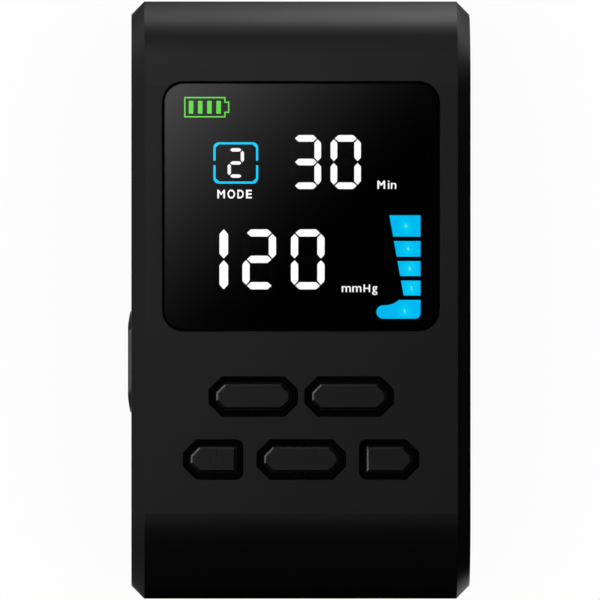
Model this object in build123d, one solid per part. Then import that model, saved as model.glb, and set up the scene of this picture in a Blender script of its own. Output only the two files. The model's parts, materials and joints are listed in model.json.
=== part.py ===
from build123d import *
import math
import os

# Hand control unit of an air-pressure foot and leg massager: a palm-size battery air pump
# with a lit display, five keys and one oblong socket for a five-way air hose.
# It lies on its back: X runs across the display, Y towards the head, Z out of the display.
# Millimetres. The origin is on the table, under the middle of the case.

# Case
CASE_W = 86.0
CASE_L = 152.0
CASE_T = 44.0
WALL = 2.2
RIM_CHAMFER = 3.3
REVEAL_H = 0.2
REVEAL_D = 0.35
LIP_T = 1.0
LIP_H = 1.6
LIP_GAP = 0.12

# Rubber feet and case screws
FOOT_STAND = 1.0
FOOT_D = 6.8
FOOT_PLUG_L = 3.4
FOOT_GAP = 0.1
SCREW_SIDE = 4.8
SCREW_END = 26.0
SCREW_HEAD_D = 5.4
SCREW_HEAD_H = 2.0
SCREW_SHANK_D = 2.8
SCREW_SEAT = 6.0
SCREW_ROOF = 11.8
SCREW_CLEAR = 0.2
PILOT_CLEAR = 0.06
REAR_BOSS_WALL = 1.6
FRONT_BOSS_D = 7.0

# Display window: its distance from the case's sides, from the head end and from the keys
WINDOW_SIDE = 7.8
WINDOW_HEAD = 20.55
WINDOW_KEY_GAP = 11.35
WINDOW_R = 5.4
WINDOW_FLARE = 0.15
LENS_GAP = 0.5
LENS_T = 2.0
LENS_RECESS = 0.5
LENS_BEVEL = 0.15
TAPE_T = 0.2
TAPE_MARGIN = 0.3
LEDGE_IN = 2.4
LEDGE_OUT = 1.8
LEDGE_T = 1.5

# Display module
HOUSING_SIDE_GAP = 1.3
HOUSING_END_GAP = 0.4
HOUSING_T = 6.6
HOUSING_CUT = 1.0
HOUSING_LENS_GAP = 0.5
SEGMENT_T = 0.2
SEGMENT_SPLIT = 0.32
SEGMENT_TIP = 1.1

# The signs are laid out on a field of this size and fitted to the display module.
# Their places are measured from the middle of the field.
SIGN_FIELD_W = 63.0
SIGN_FIELD_H = 57.8

# Digits: distance between bar centre lines, bar thickness, place of the middle bar
MINUTES_CELL = 6.0
MINUTES_BAR = 1.68
MINUTES_PITCH = 10.1
MINUTES_X = 11.33
MINUTES_Y = 11.25
PRESSURE_CELL = 6.69
PRESSURE_BAR = 1.84
PRESSURE_PITCH = 12.3
PRESSURE_X = 1.69
PRESSURE_Y = -13.42
HUNDREDS_CELL = 7.85
HUNDREDS_BAR = 2.2
HUNDREDS_X = -19.6
PROGRAM_CELL = 3.32
PROGRAM_BAR = 0.84

# Frame round the program number
PROGRAM_X = -16.55
PROGRAM_Y = 11.02
PROGRAM_FRAME_W = 11.37
PROGRAM_FRAME_H = 10.52
PROGRAM_FRAME_R = 1.42
PROGRAM_FRAME_LINE = 0.56
PROGRAM_FRAME_SPLIT = 1.15

# Battery sign
CHARGE_X = -24.4
CHARGE_Y = 25.15
CHARGE_W = 10.5
CHARGE_H = 5.2
CHARGE_LINE = 0.3
CHARGE_NUB_W = 0.96
CHARGE_NUB_H = 2.9
CHARGE_BARS = 4
CHARGE_BAR_W = 1.15
CHARGE_BAR_H = 3.25
CHARGE_BAR_PITCH = 2.33

# Leg sign: four bars of a calf that narrows to the ankle, and a foot
LEG_BACK_X = 30.3
LEG_TOP_Y = -2.25
LEG_TOP_W = 7.9
LEG_ANKLE_W = 4.3
LEG_BAR_HEIGHTS = [5.4, 3.95, 3.8, 3.8]
LEG_GAP = 1.13
FOOT_SIGN_H = 4.75
FOOT_SIGN_L = 11.2
FOOT_SIGN_INSTEP = 5.5
FOOT_SIGN_HEEL_R = 1.3

# Keys: distance from the case's sides and tail end, then from row to row and key to key
KEY_SIDE = 15.0
KEY_TAIL = 35.6
KEY_ROW_PITCH = 15.95
KEY_SPACING = 7.2
KEY_UPPER_SPACING = 5.5
KEY_SHORT_W = 11.4
KEY_H = 6.4
KEY_CORNER = 2.2
KEY_BEVEL = 0.25
KEY_PROUD = 0.8
KEY_TRAVEL = 0.75
KEY_SPARE = 0.1
KEY_SIDE_GAP = 0.3
MOAT_W = 1.95
MOAT_SOFT = 2.0
OUTLINE_TOL = 0.01

# Silicone keypad mat and the plungers under the caps
MAT_T = 1.2
MAT_MARGIN = 1.8
MAT_LAND = 0.6
MAT_LAND_GAP = 0.15
MAT_SKIRT_W = 1.0
MAT_SKIRT_H = 1.2
PLUNGER_INSET = 0.5
PLUNGER_CAP_T = 2.8

# Circuit boards
BOARD_T = 1.6
KEY_BOARD_T = 1.2
BOARD_SIDE_GAP = 1.8
BOSS_NOTCH_GAP = 0.6
BOARD_HEAD = 19.0
KEY_BOARD_LAP = 1.9
KEY_BOARD_GAP_Y = 3.6
POST_D = 5.0
POST_SIDE = 5.6
MAIN_POST_EDGE = 4.0
MAIN_POST_BOSS = 10.0
KEY_POST_EDGE = 3.4
KEY_POST_BOSS = 8.8
BOARD_SCREW_HEAD_D = 3.8
BOARD_SCREW_HEAD_H = 1.2
BOARD_SCREW_SHANK_D = 1.8
BOARD_SCREW_BITE = 2.2
BOARD_SCREW_SPARE = 0.4

# Parts under the main board. Chips: place from the middle of its lower edge, width,
# height and depth. Capacitors: places and size.
CHIPS = [
    (14.0, 26.0, 10.0, 10.0, 1.4),
    (-12.0, 38.0, 7.0, 9.0, 1.6),
    (24.0, 20.0, 6.0, 6.0, 3.0),
    (-32.0, 16.0, 5.0, 8.0, 1.6),
]
CAPACITOR_XS = [-6.0, 2.0]
CAPACITOR_Y = 42.0
CAPACITOR_D = 5.0
CAPACITOR_H = 2.4

# Charging port under the main board, at the right-hand side
PORT_Y = 5.0
PORT_W = 8.94
PORT_H = 3.2
PORT_L = 7.4
PORT_SKIN = 0.3
PORT_SINK = 0.5
PORT_SLOT_GAP = 0.35
PORT_TONGUE_W = 6.6
PORT_TONGUE_T = 0.7
PORT_TONGUE_L = 5.4

# Air-hose socket in the left-hand side
SOCKET_Y = -15.7
SOCKET_COLLAR_L = 26.2
SOCKET_COLLAR_H = 13.0
SOCKET_COLLAR_STRAIGHT = 18.6
SOCKET_PROUD = 0.87
SOCKET_EDGE = 0.35
SOCKET_CROWN_R = 14.0
SOCKET_MOUTH_L = 22.0
SOCKET_MOUTH_H = 9.0
SOCKET_SKIN = 1.2
SOCKET_NECK_CUT = 3.4
SOCKET_GAP = 0.2
SOCKET_DEPTH = 9.0
SOCKET_FLANGE_T = 1.2
SOCKET_FLANGE_OUT = 1.0
SOCKET_FLANGE_GAP = 0.1
NOZZLE_COUNT = 5
NOZZLE_PITCH = 4.3
NOZZLE_D = 3.5
NOZZLE_L = 5.0
NOZZLE_BORE = 2.0
NOZZLE_PLATE_T = 1.4

# Valve block
TUBE_ROOM = 13.9
VALVE_PITCH = 11.0
VALVE_W = 10.4
VALVE_H = 12.0
VALVE_HEAD_L = 5.0
VALVE_HEAD_INSET = 0.7
VALVE_EDGE = 0.6
VALVE_SHELF_H = 2.8
RAIL_W = 5.8
RAIL_PACK_GAP = 0.5
RAIL_H = 10.0
RAIL_END = 0.6
BARB_D = 1.9
BARB_BORE = 1.1
BARB_L = 3.0
BIG_BARB_D = 3.2
BIG_BARB_L = 5.5

# Tubes
TUBE_WALL = 0.4
TUBE_FIT = 0.05
OUTLET_PLANES = [0.62, 0.36, 0.5, 0.36, 0.62]
PUMP_TUBE_WALL = 0.9
PUMP_TUBE_LEAD_SHARE = 0.38
SENSOR_Y = 0.0
SENSOR_W = 7.0
SENSOR_H = 3.0

# Battery pack
CELL_D = 18.3
CELL_L = 65.0
CELL_GAP = 0.2
CELL_NUB_D = 6.0
CELL_NUB_L = 0.7
CELL_EDGE = 0.8
PACK_WRAP_T = 0.3
PACK_WRAP_GAP = 0.06
PACK_SIDE_GAP = 0.6
PACK_FLOOR_GAP = 0.3
PACK_PUMP_GAP = 8.9
PACK_BOARD_T = 1.2
PACK_BOARD_GAP = 0.3
PACK_BOARD_INSET = 0.8
CRADLE_T = 1.6
CRADLE_H = 6.0
CRADLE_GAP = 0.2
CRADLE_SHARES = [0.12, 0.5, 0.88]

# Pump: it fills the depth between floor and main board, and the width between two bosses.
# CLAMP_END is from the case's head end to the clamp's outer screw.
CLAMP_END = 5.85
PUMP_FLOOR_GAP = 1.2
PUMP_ROOF_GAP = 2.4
PUMP_MOTOR_GAP = 1.7
PUMP_HEAD_GAP = 2.9
PUMP_STEP = 1.3
PUMP_BODY_L = 13.0
PUMP_EDGE = 1.2
MOTOR_BUSH_D = 9.0
MOTOR_BUSH_L = 1.2
SLEEVE_T = 1.6
SLEEVE_FIT = 0.05
SLEEVE_START = 4.0
CLAMP_W = 11.0
CLAMP_T = 1.4
CLAMP_FOOT = 5.6
CLAMP_GAP = 0.1
CLAMP_POST_D = 4.6
SADDLE_T = 1.8
SADDLE_H = 9.0
SADDLE_GAP = 0.1
PUMP_BARB_BACK = 8.0

# Intake slots and filter
INTAKE_X = -20.0
INTAKE_Y = 25.0
INTAKE_SLOTS = 6
INTAKE_SLOT_W = 1.6
INTAKE_SLOT_L = 10.0
INTAKE_PITCH = 3.4
FILTER_MARGIN = 1.6
FILTER_T = 2.4
FILTER_RIM_T = 1.2
FILTER_RIM_H = 1.8
FILTER_GAP = 0.15

# Buzzer
BUZZER_X = -26.0
BUZZER_Y = 20.0
BUZZER_D = 9.0
BUZZER_H = 4.4

# Leads
LEAD_D = 1.6
LEAD_REACH = 2.2
PLUG_L = 5.0
PLUG_W = 6.0
PLUG_H = 3.4
RIBBON_W = 14.0
RIBBON_T = 0.3
RIBBON_LAP = 6.0
RIBBON_BEND = 0.6

# Posts, screws, tubes and wires inside the closed case have eight flat sides, and the
# large round pieces there and the feet have more, which keeps the model light.
SMALL_SIDES = 8
LARGE_SIDES = 16
FOOT_SIDES = 24

# Levels and places that the pieces share
BACK_Z = FOOT_STAND
MID_Z = BACK_Z + CASE_T / 2
FRONT_Z = BACK_Z + CASE_T
FLOOR_Z = BACK_Z + WALL
CEILING_Z = FRONT_Z - WALL
SIDE_X = CASE_W / 2
END_Y = CASE_L / 2
INNER_X = SIDE_X - WALL
KEY_LOWER_Y = KEY_TAIL - END_Y
KEY_UPPER_Y = KEY_LOWER_Y + KEY_ROW_PITCH
KEY_W = CASE_W - 2 * (KEY_SIDE + KEY_SHORT_W + KEY_SPACING)
KEY_UPPER_X = (KEY_W + KEY_UPPER_SPACING) / 2
KEY_OUTER_X = SIDE_X - KEY_SIDE - KEY_SHORT_W / 2
MAT_TOP_Y = KEY_UPPER_Y + KEY_H / 2 + MOAT_W + MAT_MARGIN
MAT_BOTTOM_Y = KEY_LOWER_Y - KEY_H / 2 - MOAT_W - MAT_MARGIN
WINDOW_TOP_Y = END_Y - WINDOW_HEAD
WINDOW_BOTTOM_Y = KEY_UPPER_Y + KEY_H / 2 + MOAT_W + WINDOW_KEY_GAP
WINDOW_Y = (WINDOW_TOP_Y + WINDOW_BOTTOM_Y) / 2
WINDOW_W = CASE_W - 2 * WINDOW_SIDE
WINDOW_H = WINDOW_TOP_Y - WINDOW_BOTTOM_Y
HOUSING_W = WINDOW_W - 2 * (LEDGE_IN + HOUSING_SIDE_GAP)
HOUSING_H = WINDOW_H - 2 * (LEDGE_IN + HOUSING_END_GAP)
SIGN_SCALE = min(HOUSING_W / SIGN_FIELD_W, HOUSING_H / SIGN_FIELD_H)
SCREW_X = INNER_X - SCREW_SIDE
SCREW_Y = END_Y - SCREW_END
SCREW_SPOTS = [(x, y) for x in (-SCREW_X, SCREW_X) for y in (-SCREW_Y, SCREW_Y)]
REAR_BOSS_D = FOOT_D + 2 * (FOOT_GAP + REAR_BOSS_WALL)
LENS_TOP_Z = FRONT_Z - LENS_RECESS
LENS_BOTTOM_Z = LENS_TOP_Z - LENS_T
LEDGE_Z = LENS_BOTTOM_Z - TAPE_T
HOUSING_TOP_Z = LENS_BOTTOM_Z - HOUSING_LENS_GAP
MAIN_BOARD_TOP_Z = HOUSING_TOP_Z - HOUSING_T
MAIN_BOARD_BOTTOM_Z = MAIN_BOARD_TOP_Z - BOARD_T
MAT_BOTTOM_Z = CEILING_Z - MAT_T
KEY_BOARD_TOP_Z = MAT_BOTTOM_Z - MAT_SKIRT_H
KEY_BOARD_BOTTOM_Z = KEY_BOARD_TOP_Z - KEY_BOARD_T
KEY_TOP_Z = FRONT_Z + KEY_PROUD
PLUNGER_TOP_Z = KEY_TOP_Z - PLUNGER_CAP_T
PLUNGER_BOTTOM_Z = KEY_BOARD_TOP_Z + KEY_TRAVEL + KEY_SPARE
SCREW_SEAT_Z = BACK_Z + SCREW_SEAT
SCREW_TOP_Z = CEILING_Z - SCREW_ROOF
KEY_BOARD_TOP_Y = MAT_TOP_Y + KEY_BOARD_LAP
KEY_BOARD_BOTTOM_Y = MAT_BOTTOM_Y - BOSS_NOTCH_GAP
MAIN_BOARD_BOTTOM_Y = KEY_BOARD_TOP_Y + KEY_BOARD_GAP_Y
MAIN_BOARD_TOP_Y = END_Y - BOARD_HEAD
POST_X = INNER_X - POST_SIDE
MAIN_POST_YS = [MAIN_BOARD_BOTTOM_Y + MAIN_POST_EDGE, SCREW_Y - MAIN_POST_BOSS]
KEY_POST_YS = [KEY_POST_BOSS - SCREW_Y, KEY_BOARD_TOP_Y - KEY_POST_EDGE]
PUMP_D = MAIN_BOARD_BOTTOM_Z - PUMP_ROOF_GAP - FLOOR_Z - PUMP_FLOOR_GAP
PUMP_Z = FLOOR_Z + PUMP_FLOOR_GAP + PUMP_D / 2
PUMP_HEAD_L = SCREW_X - REAR_BOSS_D / 2 - PUMP_HEAD_GAP - PUMP_BODY_L
PUMP_BARB_X = -PUMP_BODY_L - PUMP_BARB_BACK
MOTOR_D = PUMP_D - 2 * PUMP_STEP
MOTOR_L = SCREW_X - REAR_BOSS_D / 2 - PUMP_MOTOR_GAP - MOTOR_BUSH_L
SLEEVE_END = MOTOR_L - SLEEVE_START
SLEEVE_BORE = MOTOR_D + 2 * SLEEVE_FIT
SLEEVE_D = SLEEVE_BORE + 2 * SLEEVE_T
CLAMP_BORE = SLEEVE_D + 2 * CLAMP_GAP
CLAMP_D = CLAMP_BORE + 2 * CLAMP_T
CLAMP_X = (SLEEVE_START + SLEEVE_END) / 2
CLAMP_REACH = (CLAMP_D + CLAMP_FOOT) / 2
PUMP_Y = END_Y - CLAMP_END - CLAMP_REACH
CLAMP_SCREW_YS = [PUMP_Y - CLAMP_REACH, PUMP_Y + CLAMP_REACH]
MOTOR_TAB_YS = [PUMP_Y - MOTOR_D / 3, PUMP_Y + MOTOR_D / 3]
PACK_TOP_Y = PUMP_Y - PUMP_D / 2 - PACK_PUMP_GAP
CELL_Z = FLOOR_Z + PACK_FLOOR_GAP + PACK_WRAP_T + PACK_WRAP_GAP + CELL_D / 2
CELL_RIGHT_X = INNER_X - PACK_SIDE_GAP - PACK_WRAP_T - CELL_D / 2
CELL_LEFT_X = CELL_RIGHT_X - CELL_D - CELL_GAP
PACK_LEFT_X = CELL_LEFT_X - CELL_D / 2 - PACK_WRAP_T - PACK_WRAP_GAP
PACK_BOTTOM_Y = PACK_TOP_Y - CELL_L
RAIL_RIGHT_X = PACK_LEFT_X - RAIL_PACK_GAP
RAIL_LEFT_X = RAIL_RIGHT_X - RAIL_W
RAIL_X = (RAIL_RIGHT_X + RAIL_LEFT_X) / 2
VALVE_BOTTOM_Z = FLOOR_Z + VALVE_SHELF_H
VALVE_Z = VALVE_BOTTOM_Z + VALVE_H / 2
RAIL_HALF_L = VALVE_PITCH * (NOZZLE_COUNT - 1) / 2 + VALVE_W / 2 + RAIL_END
SOCKET_FLOOR_X = -(SIDE_X + SOCKET_PROUD) + SOCKET_DEPTH
SOCKET_BACK_X = SOCKET_FLOOR_X + NOZZLE_PLATE_T
VALVE_LEFT_X = SOCKET_BACK_X + TUBE_ROOM
VALVE_COIL_X = VALVE_LEFT_X + VALVE_HEAD_L
VALVE_SHELF_X = RAIL_LEFT_X - (RAIL_LEFT_X - VALVE_COIL_X) / 4
BARB_TUBE_D = BARB_D + 2 * (TUBE_FIT + TUBE_WALL)


def block(x0, x1, y0, y1, z0, z1):
    """A square-edged block between two corners."""
    middle = Pos((x0 + x1) / 2, (y0 + y1) / 2, (z0 + z1) / 2)
    return middle * Box(abs(x1 - x0), abs(y1 - y0), abs(z1 - z0))


def post(x, y, z0, z1, diameter):
    """An upright round bar."""
    return Pos(x, y, (z0 + z1) / 2) * Cylinder(diameter / 2, abs(z1 - z0))


def plate(outline, z0, z1):
    """A flat outline, seen from the front, made solid between two levels."""
    return extrude(Plane.XY.offset(z0) * outline, z1 - z0)


def side_plate(outline, x0, x1, y, z):
    """An outline drawn as Y across and Z up, made solid between two places in X."""
    plane = Plane(origin=(x0, y, z), x_dir=(0, 1, 0), z_dir=(1, 0, 0))
    return extrude(plane * outline, x1 - x0)


def end_plate(outline, x, y0, y1, z):
    """An outline drawn as X across and Z up, made solid between two places in Y."""
    plane = Plane(origin=(x, y1, z), x_dir=(1, 0, 0), z_dir=(0, -1, 0))
    return extrude(plane * outline, y1 - y0)


def flats(across, sides=SMALL_SIDES):
    """An even-sided outline of this width across its flats, with a flat on top."""
    return RegularPolygon(across / 2, sides, major_radius=False, rotation=180 / sides)


def cut_rectangle(width, height, cut):
    """A rectangle with its corners cut at 45 degrees."""
    return chamfer(Rectangle(width, height).vertices(), cut)


def inner_post(x, y, z0, z1, across):
    """An upright post, screw or hole inside the case."""
    return plate(Pos(x, y) * flats(across), z0, z1)


def tube(points, across_dir, outer_d, inner_d=0.0):
    """A tube or wire along straight runs with mitred turns. Its flats face across_dir."""
    route = Polyline(*points)
    section = flats(outer_d)
    if inner_d:
        section -= flats(inner_d)
    start = Plane(origin=points[0], x_dir=across_dir, z_dir=route % 0)
    return sweep(start * section, path=route, transition=Transition.RIGHT)


def case_form(inset):
    """The case's outer form drawn in all round: a slab with fully round ends, and
    both side rims chamfered at 45 degrees all the way round."""
    outline = SlotOverall(CASE_L - 2 * inset, CASE_T - 2 * inset)
    half_w = SIDE_X - inset
    slab = side_plate(outline, -half_w, half_w, 0, MID_Z)
    rim = RIM_CHAMFER - inset * (2 - math.sqrt(2))
    return chamfer(slab.faces().filter_by(Axis.X).edges(), rim)


def case_slice(z0, z1):
    """A block that spans the case between two levels."""
    reach = CASE_L
    return block(-reach, reach, -reach, reach, z0, z1)


def parting_reveal():
    """The thin groove that runs round the outside where the two covers meet."""
    skin = case_form(0) - case_form(REVEAL_D)
    return skin & case_slice(MID_Z - REVEAL_H, MID_Z + REVEAL_H)


def window_outline(grow):
    """The display window's rounded outline, made larger or smaller all round."""
    width = WINDOW_W + 2 * grow
    height = WINDOW_H + 2 * grow
    return Pos(0, WINDOW_Y) * RectangleRounded(width, height, WINDOW_R + grow)


def window_cut_outline(grow, cut):
    """The same, with its corners cut at 45 degrees."""
    width = WINDOW_W + 2 * grow
    height = WINDOW_H + 2 * grow
    return Pos(0, WINDOW_Y) * cut_rectangle(width, height, cut)


def key_outline(width, left_cut, right_cut):
    """A key cap from the front: an oblong whose ends are cut at 45 degrees."""
    x = width / 2
    y = KEY_H / 2
    left = KEY_CORNER if left_cut else 0
    right = KEY_CORNER if right_cut else 0
    ends = [(-x, left, -1), (x, right, 1)]
    points = []
    for edge_x, cut, side in ends:
        steps = [(edge_x - side * cut, side * y)]
        if cut:
            steps += [(edge_x, side * (y - cut)), (edge_x, -side * (y - cut))]
        steps += [(edge_x - side * cut, -side * y)]
        points += steps
    return make_face(Polyline(*points, close=True))


def key_layout():
    """Name, place and outline of each key."""
    wide = key_outline(KEY_W, True, True)
    return [
        ("upper_left", -KEY_UPPER_X, KEY_UPPER_Y, wide),
        ("upper_right", KEY_UPPER_X, KEY_UPPER_Y, wide),
        ("lower_left", -KEY_OUTER_X, KEY_LOWER_Y, key_outline(KEY_SHORT_W, True, False)),
        ("lower_centre", 0, KEY_LOWER_Y, wide),
        ("lower_right", KEY_OUTER_X, KEY_LOWER_Y, key_outline(KEY_SHORT_W, False, True)),
    ]


def grown(outline, amount):
    """An outline moved out, or in, by an even distance with its corners kept."""
    return offset(outline, amount=amount, kind=Kind.INTERSECTION)


def square_corners(outline):
    """The corners of a key outline that aren't cut at 45 degrees."""
    box = outline.bounding_box()
    corners = []
    for corner in outline.vertices():
        at_side = abs(abs(corner.X) - box.max.X) < OUTLINE_TOL
        at_end = abs(abs(corner.Y) - box.max.Y) < OUTLINE_TOL
        if at_side and at_end:
            corners.append(corner)
    return corners


def moat_outline(outline, grow):
    """The opening round a key cap, with its square corners rounded."""
    opening = grown(outline, MOAT_W + grow)
    corners = square_corners(opening)
    return fillet(corners, MOAT_SOFT + grow) if corners else opening


def mat_outline(inset):
    """The keypad mat's outline, which takes in every key's opening."""
    half_w = KEY_OUTER_X + KEY_SHORT_W / 2 + MOAT_W + MAT_MARGIN - inset
    height = MAT_TOP_Y - MAT_BOTTOM_Y - 2 * inset
    middle = (MAT_TOP_Y + MAT_BOTTOM_Y) / 2
    return Pos(0, middle) * Rectangle(2 * half_w, height)


def board_outline(y0, y1, notch_y):
    """A board that fills the case's width, with a notch round each case-screw boss."""
    half_w = INNER_X - BOARD_SIDE_GAP
    outline = Pos(0, (y0 + y1) / 2) * Rectangle(2 * half_w, y1 - y0)
    notch = FRONT_BOSS_D + 2 * BOSS_NOTCH_GAP
    for x in (-SCREW_X, SCREW_X):
        outline -= Pos(x, notch_y) * Rectangle(notch, notch)
        outline -= Pos(x * half_w / SCREW_X, notch_y) * Rectangle(notch, notch)
    return outline


def plain_screw(x, y, seat_z, tip_z, head_h, head_d, shank_d):
    """A screw that points to the front, with its head behind its seat."""
    head = inner_post(x, y, seat_z - head_h, seat_z, head_d)
    return head + inner_post(x, y, seat_z, tip_z, shank_d)


def neck_outline(grow):
    """The outside of the hose socket's neck, seen from the side, grown all round."""
    reach = 2 * (SOCKET_SKIN + grow)
    return cut_rectangle(SOCKET_MOUTH_L + reach, SOCKET_MOUTH_H + reach, SOCKET_NECK_CUT)


def socket_hole():
    """The hole in the side wall that the socket's neck goes through."""
    outline = neck_outline(SOCKET_GAP)
    return side_plate(outline, -SIDE_X - WALL, -INNER_X + WALL / 2, SOCKET_Y, MID_Z)


def front_cover():
    """The front shell: window and its ledge, key openings, bosses and board posts."""
    shell = case_form(0) - case_form(WALL)
    shell &= case_slice(MID_Z, FRONT_Z + WALL)
    lip_room = case_form(WALL - LIP_T - LIP_GAP) & case_slice(MID_Z, MID_Z + LIP_H + LIP_GAP)
    shell -= lip_room

    root_z = CEILING_Z + WALL / 2
    inside = plate(window_outline(LEDGE_OUT), LEDGE_Z - LEDGE_T, root_z)
    for x, y in SCREW_SPOTS:
        inside += inner_post(x, y, MID_Z, root_z, FRONT_BOSS_D)
    for x in (-POST_X, POST_X):
        for y in MAIN_POST_YS:
            inside += inner_post(x, y, MAIN_BOARD_TOP_Z, root_z, POST_D)
        for y in KEY_POST_YS:
            inside += inner_post(x, y, KEY_BOARD_TOP_Z, root_z, POST_D)
    cover = shell + (inside & case_form(WALL / 2))

    cover -= plate(window_outline(-LEDGE_IN), MID_Z, FRONT_Z)
    cover -= plate(window_outline(0), LEDGE_Z, FRONT_Z + WALL)
    flare = Plane.XY.offset(FRONT_Z - WINDOW_FLARE) * window_outline(0)
    cover -= extrude(flare, 2 * WINDOW_FLARE, taper=-45)
    for name, x, y, outline in key_layout():
        opening = Pos(x, y) * moat_outline(outline, 0)
        cover -= plate(opening, MAT_BOTTOM_Z, FRONT_Z + WALL)
    for x, y in SCREW_SPOTS:
        pilot_d = SCREW_SHANK_D + 2 * PILOT_CLEAR
        cover -= inner_post(x, y, MID_Z - WALL, SCREW_TOP_Z + BOARD_SCREW_SPARE, pilot_d)
    pilot_d = BOARD_SCREW_SHANK_D + 2 * PILOT_CLEAR
    pilot_l = BOARD_SCREW_BITE + BOARD_SCREW_SPARE
    for x in (-POST_X, POST_X):
        for y in MAIN_POST_YS:
            cover -= inner_post(x, y, MAIN_BOARD_TOP_Z, MAIN_BOARD_TOP_Z + pilot_l, pilot_d)
        for y in KEY_POST_YS:
            cover -= inner_post(x, y, KEY_BOARD_TOP_Z, KEY_BOARD_TOP_Z + pilot_l, pilot_d)
    cover -= port_slot()
    cover -= socket_hole()
    return cover - parting_reveal()


def rear_cover():
    """The rear shell: lip, screw bosses under the feet, cradles, shelf and intake."""
    shell = case_form(0) - case_form(WALL)
    shell &= case_slice(BACK_Z - WALL, MID_Z)
    lip = case_form(WALL - LIP_T) - case_form(WALL)
    shell += lip & case_slice(MID_Z - WALL, MID_Z + LIP_H)

    root_z = BACK_Z + WALL / 2
    inside = cradle(root_z) + pump_saddles(root_z) + valve_shelf(root_z)
    inside += filter_rim(root_z)
    for x, y in SCREW_SPOTS:
        inside += inner_post(x, y, root_z, MID_Z, REAR_BOSS_D)
    inside &= case_form(WALL / 2) & case_slice(BACK_Z, MID_Z)
    cover = shell + inside

    for x, y in SCREW_SPOTS:
        cover -= post(x, y, BACK_Z - WALL, SCREW_SEAT_Z, FOOT_D + 2 * FOOT_GAP)
        cover -= inner_post(x, y, BACK_Z, MID_Z + WALL, SCREW_SHANK_D + 2 * SCREW_CLEAR)
    slot = Rectangle(INTAKE_SLOT_W, INTAKE_SLOT_L)
    for i in range(INTAKE_SLOTS):
        x = INTAKE_X + (i - (INTAKE_SLOTS - 1) / 2) * INTAKE_PITCH
        cover -= plate(Pos(x, INTAKE_Y) * slot, BACK_Z - WALL, FLOOR_Z)
    cover -= socket_hole()
    return cover - parting_reveal()


def pack_prism(grow, y0, y1):
    """Both cells side by side with one skin round them, solid between two places in Y."""
    across = CELL_D + 2 * grow
    pitch = CELL_RIGHT_X - CELL_LEFT_X
    outline = Rectangle(pitch, across)
    for x in (-pitch / 2, pitch / 2):
        outline += Pos(x, 0) * flats(across, LARGE_SIDES)
    return end_plate(outline, (CELL_LEFT_X + CELL_RIGHT_X) / 2, y0, y1, CELL_Z)


def cradle(root_z):
    """Ribs that the battery pack lies in, and the wall at its tail end."""
    wrap_grow = PACK_WRAP_GAP + PACK_WRAP_T
    hollow = pack_prism(wrap_grow + CRADLE_GAP, PACK_BOTTOM_Y - CRADLE_GAP, PACK_TOP_Y)
    x0 = PACK_LEFT_X + CELL_D / 4
    ribs = block(x0, INNER_X, PACK_BOTTOM_Y - CRADLE_GAP - CRADLE_T,
                 PACK_BOTTOM_Y - CRADLE_GAP, root_z, FLOOR_Z + CRADLE_H)
    for share in CRADLE_SHARES:
        y = PACK_BOTTOM_Y + share * CELL_L
        ribs += block(x0, SIDE_X, y - CRADLE_T / 2, y + CRADLE_T / 2, root_z, FLOOR_Z + CRADLE_H)
    return ribs - hollow


def pump_saddles(root_z):
    """Ribs that carry the pump's sleeve and head, and the posts of its clamp."""
    half_y = MOTOR_D / 2
    top_z = FLOOR_Z + SADDLE_H
    sleeve_seat = flats(SLEEVE_D + 2 * SADDLE_GAP, LARGE_SIDES)
    head_seat = flats(PUMP_D + 2 * SADDLE_GAP)
    head_x = -PUMP_BODY_L - PUMP_HEAD_L / 2
    places = [(SLEEVE_START + SADDLE_T, sleeve_seat), (SLEEVE_END - SADDLE_T, sleeve_seat),
              (head_x, head_seat)]
    ribs = Part()
    for x, seat in places:
        x0 = x - SADDLE_T / 2
        x1 = x + SADDLE_T / 2
        rib = block(x0, x1, PUMP_Y - half_y, PUMP_Y + half_y, root_z, top_z)
        ribs += rib - side_plate(seat, x0, x1, PUMP_Y, PUMP_Z)
    pilot_d = BOARD_SCREW_SHANK_D + 2 * PILOT_CLEAR
    for y in CLAMP_SCREW_YS:
        ribs += inner_post(CLAMP_X, y, root_z, PUMP_Z, CLAMP_POST_D)
        ribs -= inner_post(CLAMP_X, y, PUMP_Z - 2 * BOARD_SCREW_BITE, PUMP_Z, pilot_d)
    return ribs


def valve_y(i):
    """Middle of valve number i along the row."""
    return SOCKET_Y + (i - (NOZZLE_COUNT - 1) / 2) * VALVE_PITCH


def nozzle_y(i):
    """Middle of nozzle number i along the socket."""
    return SOCKET_Y + (i - (NOZZLE_COUNT - 1) / 2) * NOZZLE_PITCH


def valve_shelf(root_z):
    """Long ribs that the valves and the air rail stand on, with a stop at each end."""
    y0 = SOCKET_Y - RAIL_HALF_L
    y1 = SOCKET_Y + RAIL_HALF_L
    ribs = Part()
    for x in (VALVE_COIL_X, VALVE_SHELF_X):
        ribs += block(x - CRADLE_T / 2, x + CRADLE_T / 2, y0, y1, root_z, VALVE_BOTTOM_Z)
    rail_bottom_z = VALVE_Z - RAIL_H / 2
    ribs += block(RAIL_X - CRADLE_T / 2, RAIL_X + CRADLE_T / 2, y0, y1, root_z, rail_bottom_z)
    for y, side in ((y0, -1), (y1, 1)):
        near_y = y + side * CRADLE_GAP
        far_y = near_y + side * CRADLE_T
        ribs += block(VALVE_LEFT_X, RAIL_LEFT_X, near_y, far_y, root_z, VALVE_Z)
    return ribs


def filter_size():
    """Width and height of the intake filter pad."""
    width = (INTAKE_SLOTS - 1) * INTAKE_PITCH + INTAKE_SLOT_W + 2 * FILTER_MARGIN
    return width, INTAKE_SLOT_L + 2 * FILTER_MARGIN


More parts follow.
